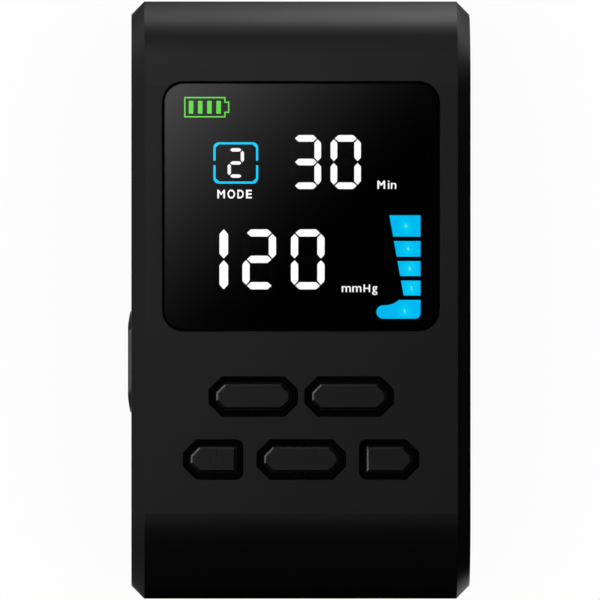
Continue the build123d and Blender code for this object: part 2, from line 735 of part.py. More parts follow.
def filter_rim(root_z):
    """The low wall that the filter pad drops into."""
    width, height = filter_size()
    hollow_w = width + 2 * FILTER_GAP
    hollow_h = height + 2 * FILTER_GAP
    rim = Rectangle(hollow_w + 2 * FILTER_RIM_T, hollow_h + 2 * FILTER_RIM_T)
    rim -= Rectangle(hollow_w, hollow_h)
    return plate(Pos(INTAKE_X, INTAKE_Y) * rim, root_z, FLOOR_Z + FILTER_RIM_H)


def rear_foot(x, y):
    """A rubber foot: its plug fills the screw's well and stands proud of the back."""
    return plate(Pos(x, y) * flats(FOOT_D, FOOT_SIDES), 0, BACK_Z + FOOT_PLUG_L)


def case_screws():
    """Four long screws from the back, one under each foot."""
    screws = Part()
    for x, y in SCREW_SPOTS:
        screws += plain_screw(x, y, SCREW_SEAT_Z, SCREW_TOP_Z, SCREW_HEAD_H, SCREW_HEAD_D,
                              SCREW_SHANK_D)
    return screws


def display_lens():
    """The smoked window panel, sunk a little below the case."""
    lens = plate(window_outline(-LENS_GAP), LENS_BOTTOM_Z, LENS_TOP_Z)
    return chamfer(lens.edges().group_by(Axis.Z)[-1], LENS_BEVEL)


def lens_tape():
    """The ring of adhesive between lens and ledge."""
    outer_in = LENS_GAP + TAPE_MARGIN
    ring = window_cut_outline(-outer_in, WINDOW_R - outer_in)
    ring -= window_cut_outline(-LEDGE_IN, (WINDOW_R - LEDGE_IN) * (2 - math.sqrt(2)))
    return plate(ring, LEDGE_Z, LENS_BOTTOM_Z)


def segment_bar(cell, thickness):
    """One lit bar of a digit, pointed at both ends, lying along X."""
    half_l = cell / 2 - SEGMENT_SPLIT / 2 * math.sqrt(2)
    half_t = thickness / 2
    shoulder = half_l - half_t * SEGMENT_TIP
    top = [(-shoulder, half_t), (-half_l, 0), (-shoulder, -half_t)]
    bottom = [(shoulder, -half_t), (half_l, 0), (shoulder, half_t)]
    return make_face(Polyline(*(top + bottom), close=True))


# Where each of a digit's seven bars lies, in half cells from the middle, and its turn
BAR_PLACES = {
    "top": (0, 2, 0),
    "middle": (0, 0, 0),
    "bottom": (0, -2, 0),
    "top_left": (-1, 1, 90),
    "top_right": (1, 1, 90),
    "bottom_left": (-1, -1, 90),
    "bottom_right": (1, -1, 90),
}
UNLIT_BARS = {
    0: ["middle"],
    2: ["top_left", "bottom_right"],
    3: ["top_left", "bottom_left"],
}


def fitted(outlines):
    """Outlines from the sign field, fitted to the display module behind the window."""
    return [Pos(0, WINDOW_Y) * (Sketch() + outline).scale(SIGN_SCALE) for outline in outlines]


def digit_bars(x, y, cell, thickness, number, lit):
    """The lit, or the unlit, bars of one digit."""
    bars = []
    for name, (across, up, turn) in BAR_PLACES.items():
        if (name in UNLIT_BARS[number]) == lit:
            continue
        place = Pos(x + across * cell / 2, y + up * cell / 2)
        bars.append(place * Rot(0, 0, turn) * segment_bar(cell, thickness))
    return bars


def all_digit_bars(lit):
    """The bars of the program number, the minutes and the pressure."""
    bars = digit_bars(PROGRAM_X, PROGRAM_Y, PROGRAM_CELL, PROGRAM_BAR, 2, lit)
    for step, number in ((0, 0), (1, 3)):
        x = MINUTES_X - step * MINUTES_PITCH
        bars += digit_bars(x, MINUTES_Y, MINUTES_CELL, MINUTES_BAR, number, lit)
    for step, number in ((0, 0), (1, 2)):
        x = PRESSURE_X - step * PRESSURE_PITCH
        bars += digit_bars(x, PRESSURE_Y, PRESSURE_CELL, PRESSURE_BAR, number, lit)
    if lit:
        upright = Rot(0, 0, 90) * segment_bar(HUNDREDS_CELL, HUNDREDS_BAR)
        for side in (-1, 1):
            y = PRESSURE_Y + side * HUNDREDS_CELL / 2
            bars.append(Pos(HUNDREDS_X, y) * upright)
    return fitted(bars)


def program_frame():
    """The split, soft-cornered frame round the program number."""
    line = PROGRAM_FRAME_LINE
    outer = RectangleRounded(PROGRAM_FRAME_W, PROGRAM_FRAME_H, PROGRAM_FRAME_R)
    inner = cut_rectangle(PROGRAM_FRAME_W - 2 * line, PROGRAM_FRAME_H - 2 * line,
                          PROGRAM_FRAME_R - line)
    frame = outer - inner - Rectangle(2 * PROGRAM_FRAME_W, PROGRAM_FRAME_SPLIT)
    return fitted([Pos(PROGRAM_X, PROGRAM_Y) * face for face in frame.faces()])


def charge_sign():
    """The battery sign: an outline with its hollow nub, and the bars inside."""
    line = CHARGE_LINE
    shell = Rectangle(CHARGE_W, CHARGE_H) - Rectangle(CHARGE_W - 2 * line, CHARGE_H - 2 * line)
    nub = Rectangle(CHARGE_NUB_W, CHARGE_NUB_H)
    nub -= Pos(-line, 0) * Rectangle(CHARGE_NUB_W, CHARGE_NUB_H - 2 * line)
    shell += Pos((CHARGE_W + CHARGE_NUB_W) / 2, 0) * nub
    signs = [shell]
    for i in range(CHARGE_BARS):
        x = (i - (CHARGE_BARS - 1) / 2) * CHARGE_BAR_PITCH
        signs.append(Pos(x, 0) * Rectangle(CHARGE_BAR_W, CHARGE_BAR_H))
    return fitted([Pos(CHARGE_X, CHARGE_Y) * sign for sign in signs])


def leg_sign():
    """Four calf bars cut from one tapering leg, and the foot below them."""
    bars = []
    calf_h = sum(LEG_BAR_HEIGHTS) + LEG_GAP * (len(LEG_BAR_HEIGHTS) - 1)
    shin_slope = (LEG_TOP_W - LEG_ANKLE_W) / calf_h
    drop = 0
    for height in LEG_BAR_HEIGHTS:
        top_w = LEG_TOP_W - shin_slope * drop
        low_w = LEG_TOP_W - shin_slope * (drop + height)
        corners = [(0, -drop), (-top_w, -drop), (-low_w, -drop - height), (0, -drop - height)]
        bars.append(make_face(Polyline(*corners, close=True)))
        drop += height + LEG_GAP
    toe_r = FOOT_SIGN_H * 0.36
    sole_y = -drop - FOOT_SIGN_H
    toe_x = -FOOT_SIGN_L + toe_r
    toe_top = (toe_x, sole_y + 2 * toe_r)
    back = Line((0, sole_y + FOOT_SIGN_HEEL_R), (0, -drop))
    top = Line((0, -drop), (-FOOT_SIGN_INSTEP, -drop))
    instep_mid = (-FOOT_SIGN_INSTEP * 1.25, -drop - FOOT_SIGN_H * 0.19)
    instep = ThreePointArc((-FOOT_SIGN_INSTEP, -drop), instep_mid, toe_top)
    toe = ThreePointArc(toe_top, (-FOOT_SIGN_L, sole_y + toe_r), (toe_x, sole_y))
    sole = Line((toe_x, sole_y), (-FOOT_SIGN_HEEL_R, sole_y))
    heel_turn = FOOT_SIGN_HEEL_R * (1 - math.sqrt(0.5))
    heel = ThreePointArc((-FOOT_SIGN_HEEL_R, sole_y), (-heel_turn, sole_y + heel_turn),
                         (0, sole_y + FOOT_SIGN_HEEL_R))
    bars.append(make_face([back, top, instep, toe, sole, heel]))
    return fitted([Pos(LEG_BACK_X, LEG_TOP_Y) * bar for bar in bars])


def lit_solids(outlines):
    """Light pieces bonded to the face of the display housing."""
    solids = [plate(outline, HOUSING_TOP_Z, HOUSING_TOP_Z + SEGMENT_T) for outline in outlines]
    return Part() + solids


def display_housing():
    """The black module behind the lens that carries every light piece."""
    outline = Pos(0, WINDOW_Y) * cut_rectangle(HOUSING_W, HOUSING_H, HOUSING_CUT)
    return plate(outline, MAIN_BOARD_TOP_Z, HOUSING_TOP_Z)


def key_cap(x, y, outline):
    """A hard key cap with a bevel round its top."""
    cap = plate(Pos(x, y) * outline, PLUNGER_TOP_Z, KEY_TOP_Z)
    return chamfer(cap.edges().group_by(Axis.Z)[-1], KEY_BEVEL)


def key_plunger(x, y, outline):
    """The rubber plunger glued under a cap, which closes the contact on the board."""
    return plate(Pos(x, y) * grown(outline, -PLUNGER_INSET), PLUNGER_BOTTOM_Z, PLUNGER_TOP_Z)


def keypad_mat():
    """The silicone mat: a sheet on a skirt, with a raised land in each opening."""
    mat = plate(mat_outline(0), MAT_BOTTOM_Z, CEILING_Z)
    skirt = mat_outline(0) - mat_outline(MAT_SKIRT_W)
    mat += plate(skirt, KEY_BOARD_TOP_Z, MAT_BOTTOM_Z)
    for name, x, y, outline in key_layout():
        land = Pos(x, y) * moat_outline(outline, -MAT_LAND_GAP)
        mat += plate(land, MAT_BOTTOM_Z, CEILING_Z + MAT_LAND)
        hole = Pos(x, y) * grown(outline, KEY_SIDE_GAP)
        mat -= plate(hole, KEY_BOARD_TOP_Z, FRONT_Z)
    return mat


def board_holes(ys):
    """A board's screw holes, on both sides."""
    hole = flats(BOARD_SCREW_SHANK_D + 2 * SCREW_CLEAR)
    return [Pos(x, y) * hole for x in (-POST_X, POST_X) for y in ys]


def key_board():
    """The board under the keys, screwed to four posts of the front cover."""
    outline = board_outline(KEY_BOARD_BOTTOM_Y, KEY_BOARD_TOP_Y, -SCREW_Y)
    outline -= board_holes(KEY_POST_YS)
    return plate(outline, KEY_BOARD_BOTTOM_Z, KEY_BOARD_TOP_Z)


def main_board():
    """The main board with its larger parts on the underside."""
    outline = board_outline(MAIN_BOARD_BOTTOM_Y, MAIN_BOARD_TOP_Y, SCREW_Y)
    outline -= board_holes(MAIN_POST_YS)
    z = MAIN_BOARD_BOTTOM_Z
    parts = [plate(outline, z, MAIN_BOARD_TOP_Z)]
    for x, up, width, height, depth in CHIPS:
        y = MAIN_BOARD_BOTTOM_Y + up
        parts.append(block(x - width / 2, x + width / 2, y - height / 2, y + height / 2,
                           z - depth, z))
    for x in CAPACITOR_XS:
        y = MAIN_BOARD_BOTTOM_Y + CAPACITOR_Y
        parts.append(inner_post(x, y, z - CAPACITOR_H, z, CAPACITOR_D))
    return Part() + parts


def board_screws():
    """Eight small screws that hold the two boards to the posts of the front cover."""
    screws = Part()
    for seat_z, top_z, ys in ((MAIN_BOARD_BOTTOM_Z, MAIN_BOARD_TOP_Z, MAIN_POST_YS),
                              (KEY_BOARD_BOTTOM_Z, KEY_BOARD_TOP_Z, KEY_POST_YS)):
        for x in (-POST_X, POST_X):
            for y in ys:
                screws += plain_screw(x, y, seat_z, top_z + BOARD_SCREW_BITE,
                                      BOARD_SCREW_HEAD_H, BOARD_SCREW_HEAD_D,
                                      BOARD_SCREW_SHANK_D)
    return screws


def clamp_screws():
    """Two small screws through the clamp's feet into its posts."""
    screws = Part()
    seat_z = PUMP_Z + CLAMP_T
    tip_z = PUMP_Z - BOARD_SCREW_BITE
    for y in CLAMP_SCREW_YS:
        screws += plain_screw(CLAMP_X, y, seat_z, tip_z, -BOARD_SCREW_HEAD_H,
                              BOARD_SCREW_HEAD_D, BOARD_SCREW_SHANK_D)
    return screws


def key_ribbon():
    """The flat cable from under the key board to the top of the main board."""
    high_z = KEY_BOARD_BOTTOM_Z - RIBBON_T / 2
    low_z = MAIN_BOARD_TOP_Z + RIBBON_T / 2
    high_y = MAIN_BOARD_BOTTOM_Y - KEY_BOARD_GAP_Y
    low_y = MAIN_BOARD_BOTTOM_Y
    middle = Polyline((high_y - RIBBON_LAP, high_z), (high_y - RIBBON_BEND, high_z),
                      (low_y + RIBBON_BEND, low_z), (low_y + RIBBON_LAP, low_z))
    strip = make_face(offset(middle, amount=RIBBON_T / 2, kind=Kind.INTERSECTION).edges())
    plane = Plane(origin=(-RIBBON_W / 2, 0, 0), x_dir=(0, 1, 0), z_dir=(1, 0, 0))
    return extrude(plane * strip, RIBBON_W)


def port_z():
    """Middle of the charging port, which hangs under the main board."""
    return MAIN_BOARD_BOTTOM_Z - PORT_H / 2


def port_slot():
    """The slot in the side wall in front of the charging port."""
    outline = SlotOverall(PORT_W + 2 * PORT_SLOT_GAP, PORT_H + 2 * PORT_SLOT_GAP)
    return side_plate(outline, INNER_X - WALL, SIDE_X + WALL, PORT_Y, port_z())


def charge_port_shell():
    """The port's drawn metal shell, open at the side of the case."""
    mouth_x = SIDE_X - PORT_SINK
    shell = side_plate(SlotOverall(PORT_W, PORT_H), mouth_x - PORT_L, mouth_x, PORT_Y, port_z())
    inner = SlotOverall(PORT_W - 2 * PORT_SKIN, PORT_H - 2 * PORT_SKIN)
    return shell - side_plate(inner, mouth_x - PORT_L + PORT_SKIN, mouth_x, PORT_Y, port_z())


def charge_port_tongue():
    """The contact tongue in the middle of the port."""
    back_x = SIDE_X - PORT_SINK - PORT_L + PORT_SKIN
    tongue = Rectangle(PORT_TONGUE_W, PORT_TONGUE_T)
    return side_plate(tongue, back_x, back_x + PORT_TONGUE_L, PORT_Y, port_z())


def socket_crown():
    """The collar's form seen from the front: a long straight with soft, low ends."""
    half_l = SOCKET_COLLAR_L / 2
    half_s = SOCKET_COLLAR_STRAIGHT / 2
    base_x = -SIDE_X
    top_x = -SIDE_X - SOCKET_PROUD
    step_x = -SIDE_X - SOCKET_EDGE
    points = [(base_x, half_l), (step_x, half_l - SOCKET_EDGE), (top_x, half_s),
              (top_x, -half_s), (step_x, -half_l + SOCKET_EDGE), (base_x, -half_l)]
    face = make_face(Polyline(*points, close=True))
    soft = fillet(face.vertices().sort_by(Axis.X)[:2], SOCKET_CROWN_R)
    return plate(Pos(0, SOCKET_Y) * soft, MID_Z - SOCKET_COLLAR_H, MID_Z + SOCKET_COLLAR_H)


def hose_socket():
    """The socket's sleeve: a crowned collar outside, a flange inside the wall."""
    collar = side_plate(SlotOverall(SOCKET_COLLAR_L, SOCKET_COLLAR_H),
                        -SIDE_X - SOCKET_PROUD, -SIDE_X, SOCKET_Y, MID_Z)
    collar &= socket_crown()
    neck = side_plate(neck_outline(0), -SIDE_X - SOCKET_EDGE, SOCKET_FLOOR_X, SOCKET_Y, MID_Z)
    flange_x = -INNER_X + SOCKET_FLANGE_GAP
    flange = side_plate(neck_outline(SOCKET_FLANGE_OUT), flange_x,
                        flange_x + SOCKET_FLANGE_T, SOCKET_Y, MID_Z)
    mouth = side_plate(SlotOverall(SOCKET_MOUTH_L, SOCKET_MOUTH_H),
                       -SIDE_X - 2 * SOCKET_PROUD, SOCKET_FLOOR_X, SOCKET_Y, MID_Z)
    return collar + neck + flange - mouth


def nozzle_plate():
    """The plate that closes the socket, with a nozzle in front of it and a barb behind
    for each air line."""
    plate_part = side_plate(neck_outline(0), SOCKET_FLOOR_X, SOCKET_BACK_X, SOCKET_Y, MID_Z)
    tip_x = SOCKET_FLOOR_X - NOZZLE_L
    barb_x = SOCKET_BACK_X + BARB_L
    bores = []
    for i in range(NOZZLE_COUNT):
        y = nozzle_y(i)
        plate_part += side_plate(flats(NOZZLE_D, LARGE_SIDES), tip_x, SOCKET_FLOOR_X, y, MID_Z)
        plate_part += side_plate(flats(BARB_D), SOCKET_BACK_X, barb_x, y, MID_Z)
        bores.append(side_plate(flats(NOZZLE_BORE), tip_x, SOCKET_FLOOR_X, y, MID_Z))
        bores.append(side_plate(flats(BARB_BORE), SOCKET_FLOOR_X, barb_x, y, MID_Z))
    return plate_part - bores


def chamber_valve(i):
    """One solenoid valve: coil in its steel yoke, valve head and outlet barb."""
    y = valve_y(i)
    half_w = VALVE_W / 2
    coil = block(VALVE_COIL_X, RAIL_LEFT_X, y - half_w, y + half_w, VALVE_BOTTOM_Z,
                 VALVE_BOTTOM_Z + VALVE_H)
    coil = chamfer(coil.edges().filter_by(Axis.X), VALVE_EDGE)
    head_w = half_w - VALVE_HEAD_INSET
    head = block(VALVE_LEFT_X, VALVE_COIL_X, y - head_w, y + head_w,
                 VALVE_BOTTOM_Z + VALVE_HEAD_INSET, VALVE_BOTTOM_Z + VALVE_H - VALVE_HEAD_INSET)
    barb = side_plate(flats(BARB_D), VALVE_LEFT_X - BARB_L, VALVE_LEFT_X, y, VALVE_Z)
    return coil + head + barb


def air_rail():
    """The moulded bar that feeds all valves, with a port for the pump and the sensor."""
    y0 = SOCKET_Y - RAIL_HALF_L
    y1 = SOCKET_Y + RAIL_HALF_L
    rail = block(RAIL_LEFT_X, RAIL_RIGHT_X, y0, y1, VALVE_Z - RAIL_H / 2, VALVE_Z + RAIL_H / 2)
    rail = chamfer(rail.edges().filter_by(Axis.Y), VALVE_EDGE)
    rail += end_plate(flats(BIG_BARB_D), RAIL_X, y1, y1 + BIG_BARB_L, VALVE_Z)
    top_z = VALVE_Z + RAIL_H / 2
    return rail + inner_post(RAIL_X, SENSOR_Y, top_z, top_z + BARB_L, BARB_D)


def outlet_tubes():
    """The soft tubes from the valves to the nozzle plate, one for each air line."""
    tubes = Part()
    start_x = VALVE_LEFT_X
    end_x = SOCKET_BACK_X
    for i in range(NOZZLE_COUNT):
        turn_x = start_x + (end_x - start_x) * OUTLET_PLANES[i]
        points = [(start_x, valve_y(i), VALVE_Z), (turn_x, valve_y(i), VALVE_Z),
                  (turn_x, nozzle_y(i), MID_Z), (end_x, nozzle_y(i), MID_Z)]
        tubes += tube(points, (0, 1, 0), BARB_TUBE_D, BARB_D + 2 * TUBE_FIT)
    return tubes


def pump_tube():
    """The hose from the pump's outlet to the end of the air rail."""
    rail_y = SOCKET_Y + RAIL_HALF_L
    pump_y = PUMP_Y - PUMP_D / 2
    lead = (pump_y - rail_y) * PUMP_TUBE_LEAD_SHARE
    points = [(PUMP_BARB_X, pump_y, PUMP_Z), (PUMP_BARB_X, pump_y - lead, PUMP_Z),
              (RAIL_X, rail_y + lead, VALVE_Z), (RAIL_X, rail_y, VALVE_Z)]
    bore = BIG_BARB_D + 2 * TUBE_FIT
    return tube(points, (1, 0, 0), bore + 2 * PUMP_TUBE_WALL, bore)


def pressure_sensor():
    """The sensor under the main board, its port pointing at the air rail."""
    half_w = SENSOR_W / 2
    z = MAIN_BOARD_BOTTOM_Z
    body = block(RAIL_X - half_w, RAIL_X + half_w, SENSOR_Y - half_w, SENSOR_Y + half_w,
                 z - SENSOR_H, z)
    return body + inner_post(RAIL_X, SENSOR_Y, z - SENSOR_H - BARB_L, z - SENSOR_H, BARB_D)


def sensor_tube():
    """The straight tube between the air rail and the pressure sensor."""
    bottom_z = VALVE_Z + RAIL_H / 2
    top_z = MAIN_BOARD_BOTTOM_Z - SENSOR_H
    outer = inner_post(RAIL_X, SENSOR_Y, bottom_z, top_z, BARB_TUBE_D)
    return outer - inner_post(RAIL_X, SENSOR_Y, bottom_z, top_z, BARB_D + 2 * TUBE_FIT)


def buzzer():
    """The round buzzer under the main board, with its sound hole."""
    z = MAIN_BOARD_BOTTOM_Z
    can = plate(Pos(BUZZER_X, BUZZER_Y) * flats(BUZZER_D, LARGE_SIDES), z - BUZZER_H, z)
    return can - inner_post(BUZZER_X, BUZZER_Y, z - BUZZER_H, z - BUZZER_H / 2, BUZZER_D / 5)


def pump_motor():
    """The pump's motor: a can with its rear bush and two contact tabs."""
    can = side_plate(flats(MOTOR_D, LARGE_SIDES), 0, MOTOR_L, PUMP_Y, PUMP_Z)
    can += side_plate(flats(MOTOR_BUSH_D), MOTOR_L, MOTOR_L + MOTOR_BUSH_L, PUMP_Y, PUMP_Z)
    for y in MOTOR_TAB_YS:
        can += block(MOTOR_L, MOTOR_L + MOTOR_BUSH_L, y - LEAD_D / 2, y + LEAD_D / 2,
                     PUMP_Z - LEAD_D / 4, PUMP_Z + LEAD_D / 4)
    return can


def pump_body():
    """The crank housing between motor and head, waisted towards the motor."""
    body = side_plate(flats(PUMP_D), -PUMP_BODY_L, 0, PUMP_Y, PUMP_Z)
    return chamfer(body.faces().sort_by(Axis.X)[-1].edges(), PUMP_EDGE)


def pump_head():
    """The diaphragm head with its outlet barb towards the valves."""
    end_x = -PUMP_BODY_L - PUMP_HEAD_L
    head = side_plate(flats(PUMP_D), end_x, -PUMP_BODY_L, PUMP_Y, PUMP_Z)
    head = chamfer(head.faces().sort_by(Axis.X)[0].edges(), PUMP_EDGE)
    side_y = PUMP_Y - PUMP_D / 2
    return head + end_plate(flats(BIG_BARB_D), PUMP_BARB_X, side_y - BIG_BARB_L, PUMP_Y, PUMP_Z)


def pump_sleeve():
    """The rubber sleeve that keeps the motor's shake off the case."""
    ring = flats(SLEEVE_D, LARGE_SIDES) - flats(SLEEVE_BORE, LARGE_SIDES)
    return side_plate(ring, SLEEVE_START, SLEEVE_END, PUMP_Y, PUMP_Z)


def pump_clamp():
    """The strap over the sleeve, with a foot on a post at each side."""
    x0 = CLAMP_X - CLAMP_W / 2
    x1 = CLAMP_X + CLAMP_W / 2
    feet_w = CLAMP_BORE + 2 * CLAMP_FOOT
    outline = flats(CLAMP_D, LARGE_SIDES) - flats(CLAMP_BORE, LARGE_SIDES)
    outline &= Pos(0, CLAMP_D / 2) * Rectangle(CLAMP_D, CLAMP_D)
    feet = Pos(0, CLAMP_T / 2) * Rectangle(feet_w, CLAMP_T)
    outline += feet - flats(CLAMP_BORE, LARGE_SIDES)
    strap = side_plate(outline, x0, x1, PUMP_Y, PUMP_Z)
    hole_d = BOARD_SCREW_SHANK_D + 2 * SCREW_CLEAR
    for y in CLAMP_SCREW_YS:
        strap -= inner_post(CLAMP_X, y, PUMP_Z, PUMP_Z + CLAMP_T, hole_d)
    return strap


def intake_filter():
    """The foam pad over the intake slots."""
    width, height = filter_size()
    return plate(Pos(INTAKE_X, INTAKE_Y) * Rectangle(width, height), FLOOR_Z, FLOOR_Z + FILTER_T)


def battery_cell(x, plus_up):
    """One round cell with its contact nub towards the head or the tail."""
    y0 = PACK_BOTTOM_Y + CELL_NUB_L
    y1 = PACK_TOP_Y - CELL_NUB_L
    cell = end_plate(flats(CELL_D, LARGE_SIDES), x, y0, y1, CELL_Z)
    ends = cell.faces().filter_by(Axis.Y)
    cell = chamfer(ends.edges(), CELL_EDGE)
    if plus_up:
        return cell + end_plate(flats(CELL_NUB_D), x, y1, y1 + CELL_NUB_L, CELL_Z)
    return cell + end_plate(flats(CELL_NUB_D), x, y0 - CELL_NUB_L, y0, CELL_Z)


def battery_wrap():
    """The shrunk sleeve that holds the two cells together."""
    wrap = pack_prism(PACK_WRAP_GAP + PACK_WRAP_T, PACK_BOTTOM_Y, PACK_TOP_Y)
    return wrap - pack_prism(PACK_WRAP_GAP, PACK_BOTTOM_Y, PACK_TOP_Y)


def battery_board():
    """The protection board across the head end of the pack."""
    y0 = PACK_TOP_Y + PACK_BOARD_GAP
    return pack_prism(-PACK_BOARD_INSET, y0, y0 + PACK_BOARD_T)


def battery_lead():
    """Two wires from the protection board to a plug under the main board."""
    board_y = PACK_TOP_Y + PACK_BOARD_GAP + PACK_BOARD_T
    plug_z = MAIN_BOARD_BOTTOM_Z - PLUG_H
    rise_y = board_y + LEAD_REACH
    lead = Part()
    for x in (CELL_RIGHT_X - LEAD_D, CELL_RIGHT_X + LEAD_D):
        points = [(x, board_y, CELL_Z), (x, rise_y, CELL_Z), (x, rise_y, plug_z)]
        lead += tube(points, (1, 0, 0), LEAD_D)
    plug = block(CELL_RIGHT_X - PLUG_W / 2, CELL_RIGHT_X + PLUG_W / 2, rise_y - PLUG_L / 2,
                 rise_y + PLUG_L / 2, plug_z, MAIN_BOARD_BOTTOM_Z)
    return lead + plug


def pump_lead():
    """Two wires from the motor's tabs up to the main board."""
    start_x = MOTOR_L + MOTOR_BUSH_L
    rise_x = start_x - LEAD_D / 4
    wires = Part()
    for y in MOTOR_TAB_YS:
        wires += inner_post(rise_x, y, PUMP_Z + LEAD_D / 4, MAIN_BOARD_BOTTOM_Z, LEAD_D / 2)
    return wires


def save(node, solid):
    """Write one node's solids to its own file."""
    export_step(solid, os.path.join("parts", node + ".step"))


def main():
    os.makedirs("parts", exist_ok=True)
    save("front_cover", front_cover())
    save("rear_cover", rear_cover())
    save("case_screws", case_screws())
    for number, (x, y) in enumerate(SCREW_SPOTS, start=1):
        save(f"rear_foot_{number}", rear_foot(x, y))
    save("display_lens", display_lens())
    save("lens_tape", lens_tape())
    save("display_housing", display_housing())
    save("digit_segments", lit_solids(all_digit_bars(True)))
    save("unlit_segments", lit_solids(all_digit_bars(False)))
    save("program_frame_segments", lit_solids(program_frame()))
    save("charge_segments", lit_solids(charge_sign()))
    save("leg_segments", lit_solids(leg_sign()))
    save("main_board", main_board())
    save("key_board", key_board())
    save("board_screws", board_screws())
    save("key_ribbon", key_ribbon())
    save("keypad_mat", keypad_mat())
    for name, x, y, outline in key_layout():
        save(f"key_cap_{name}", key_cap(x, y, outline))
        save(f"key_plunger_{name}", key_plunger(x, y, outline))
    save("charge_port_shell", charge_port_shell())
    save("charge_port_tongue", charge_port_tongue())
    save("hose_socket", hose_socket())
    save("nozzle_plate", nozzle_plate())
    save("outlet_tubes", outlet_tubes())
    for i in range(NOZZLE_COUNT):
        save(f"chamber_valve_{i + 1}", chamber_valve(i))
    save("air_rail", air_rail())
    save("pressure_sensor", pressure_sensor())
    save("sensor_tube", sensor_tube())
    save("buzzer", buzzer())
    save("pump_motor", pump_motor())
    save("pump_body", pump_body())
    save("pump_head", pump_head())
    save("pump_sleeve", pump_sleeve())
    save("pump_clamp", pump_clamp())
    save("clamp_screws", clamp_screws())
    save("pump_tube", pump_tube())
    save("pump_lead", pump_lead())
    save("intake_filter", intake_filter())
    save("battery_cell_left", battery_cell(CELL_LEFT_X, True))
    save("battery_cell_right", battery_cell(CELL_RIGHT_X, False))
    save("battery_wrap", battery_wrap())
    save("battery_board", battery_board())
    save("battery_lead", battery_lead())


main()
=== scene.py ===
# %% [markdown]
# # Hand control unit of an air-pressure foot and leg massager
#
# The real unit is a palm-size case of black satin plastic. Five push keys sit in deep black
# openings under a smoked window, and lit digits and signs shine through that window.
#
# Most imported solids already have the right shapes, so this lesson keeps them and gives each one a
# finish. It then adds what no solid carries: the small words on the display, the numbers on the
# leg sign, the window's printed border, a black ring of painted shade in the slot round the window,
# a key's sign and the charging port's contacts.
# The battery sign, the key caps, the hose socket and the feet need finer edges than their solids
# have, so each gets a piece that replaces it. The last cells set up the studio and the camera.

# %% Start from an empty scene and load the frame
import json
import math

import bmesh
import bpy
from mathutils import Matrix, Vector

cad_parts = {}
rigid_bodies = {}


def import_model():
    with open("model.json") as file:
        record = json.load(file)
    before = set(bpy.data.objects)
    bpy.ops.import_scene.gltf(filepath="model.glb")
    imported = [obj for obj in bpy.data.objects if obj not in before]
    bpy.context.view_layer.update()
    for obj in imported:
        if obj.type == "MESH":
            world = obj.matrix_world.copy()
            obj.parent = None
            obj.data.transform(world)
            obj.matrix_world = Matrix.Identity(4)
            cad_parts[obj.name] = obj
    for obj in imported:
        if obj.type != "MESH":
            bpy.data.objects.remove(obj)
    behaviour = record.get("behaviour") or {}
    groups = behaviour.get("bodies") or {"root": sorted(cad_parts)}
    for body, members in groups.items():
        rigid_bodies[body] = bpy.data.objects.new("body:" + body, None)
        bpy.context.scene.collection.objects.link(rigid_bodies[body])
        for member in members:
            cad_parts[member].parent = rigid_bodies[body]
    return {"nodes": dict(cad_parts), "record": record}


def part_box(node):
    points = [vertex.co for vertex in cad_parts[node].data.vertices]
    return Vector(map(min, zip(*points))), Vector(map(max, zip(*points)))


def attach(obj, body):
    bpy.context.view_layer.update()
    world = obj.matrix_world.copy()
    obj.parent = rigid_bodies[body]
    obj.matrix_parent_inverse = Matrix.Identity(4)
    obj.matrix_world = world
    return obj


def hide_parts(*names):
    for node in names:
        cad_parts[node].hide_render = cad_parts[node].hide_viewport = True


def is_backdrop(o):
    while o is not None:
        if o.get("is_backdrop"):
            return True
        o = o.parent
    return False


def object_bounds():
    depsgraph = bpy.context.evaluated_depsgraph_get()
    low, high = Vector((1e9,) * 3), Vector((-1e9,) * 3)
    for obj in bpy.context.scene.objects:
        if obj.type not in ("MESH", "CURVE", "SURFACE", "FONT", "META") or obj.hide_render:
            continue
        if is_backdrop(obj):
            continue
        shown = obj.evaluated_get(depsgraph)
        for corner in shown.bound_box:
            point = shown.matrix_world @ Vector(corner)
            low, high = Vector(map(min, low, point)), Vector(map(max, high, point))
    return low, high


def in_mm(metres, digits=1):
    return [round(value * 1000, digits) for value in metres]


for leftover in list(bpy.data.objects):
    bpy.data.objects.remove(leftover)
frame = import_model()
nodes = frame["nodes"]
cad_box = [list(corner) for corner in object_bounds()]
print(len(nodes), "nodes, box in mm:", [in_mm(corner) for corner in cad_box])

# %% [markdown]
# ## Writing a finish as a sum
#
# A finish is a network of shader nodes. Networks can be linked by hand, node by node, but then a
# simple sum takes ten lines. Here a `Wire` stands for one output of a node, and Python's own signs
# work on it: `1 - mask` adds a Math node. Every other node comes from `Finish.node`, which takes
# the node's type, its settings and its inputs.

# %% The two classes that every finish is written with
class Wire:
    """One output of a shader node that numbers can be added to and multiplied with."""

    def __init__(self, finish, socket):
        self.finish = finish
        self.socket = socket

    def sign(self, operation, first, second):
        return self.finish.node("Math", {"operation": operation}, {0: first, 1: second})

    def __add__(self, other):
        return self.sign("ADD", self, other)

    def __radd__(self, other):
        return self.sign("ADD", other, self)

    def __sub__(self, other):
        return self.sign("SUBTRACT", self, other)

    def __rsub__(self, other):
        return self.sign("SUBTRACT", other, self)

    def __mul__(self, other):
        return self.sign("MULTIPLY", self, other)

    def __rmul__(self, other):
        return self.sign("MULTIPLY", other, self)


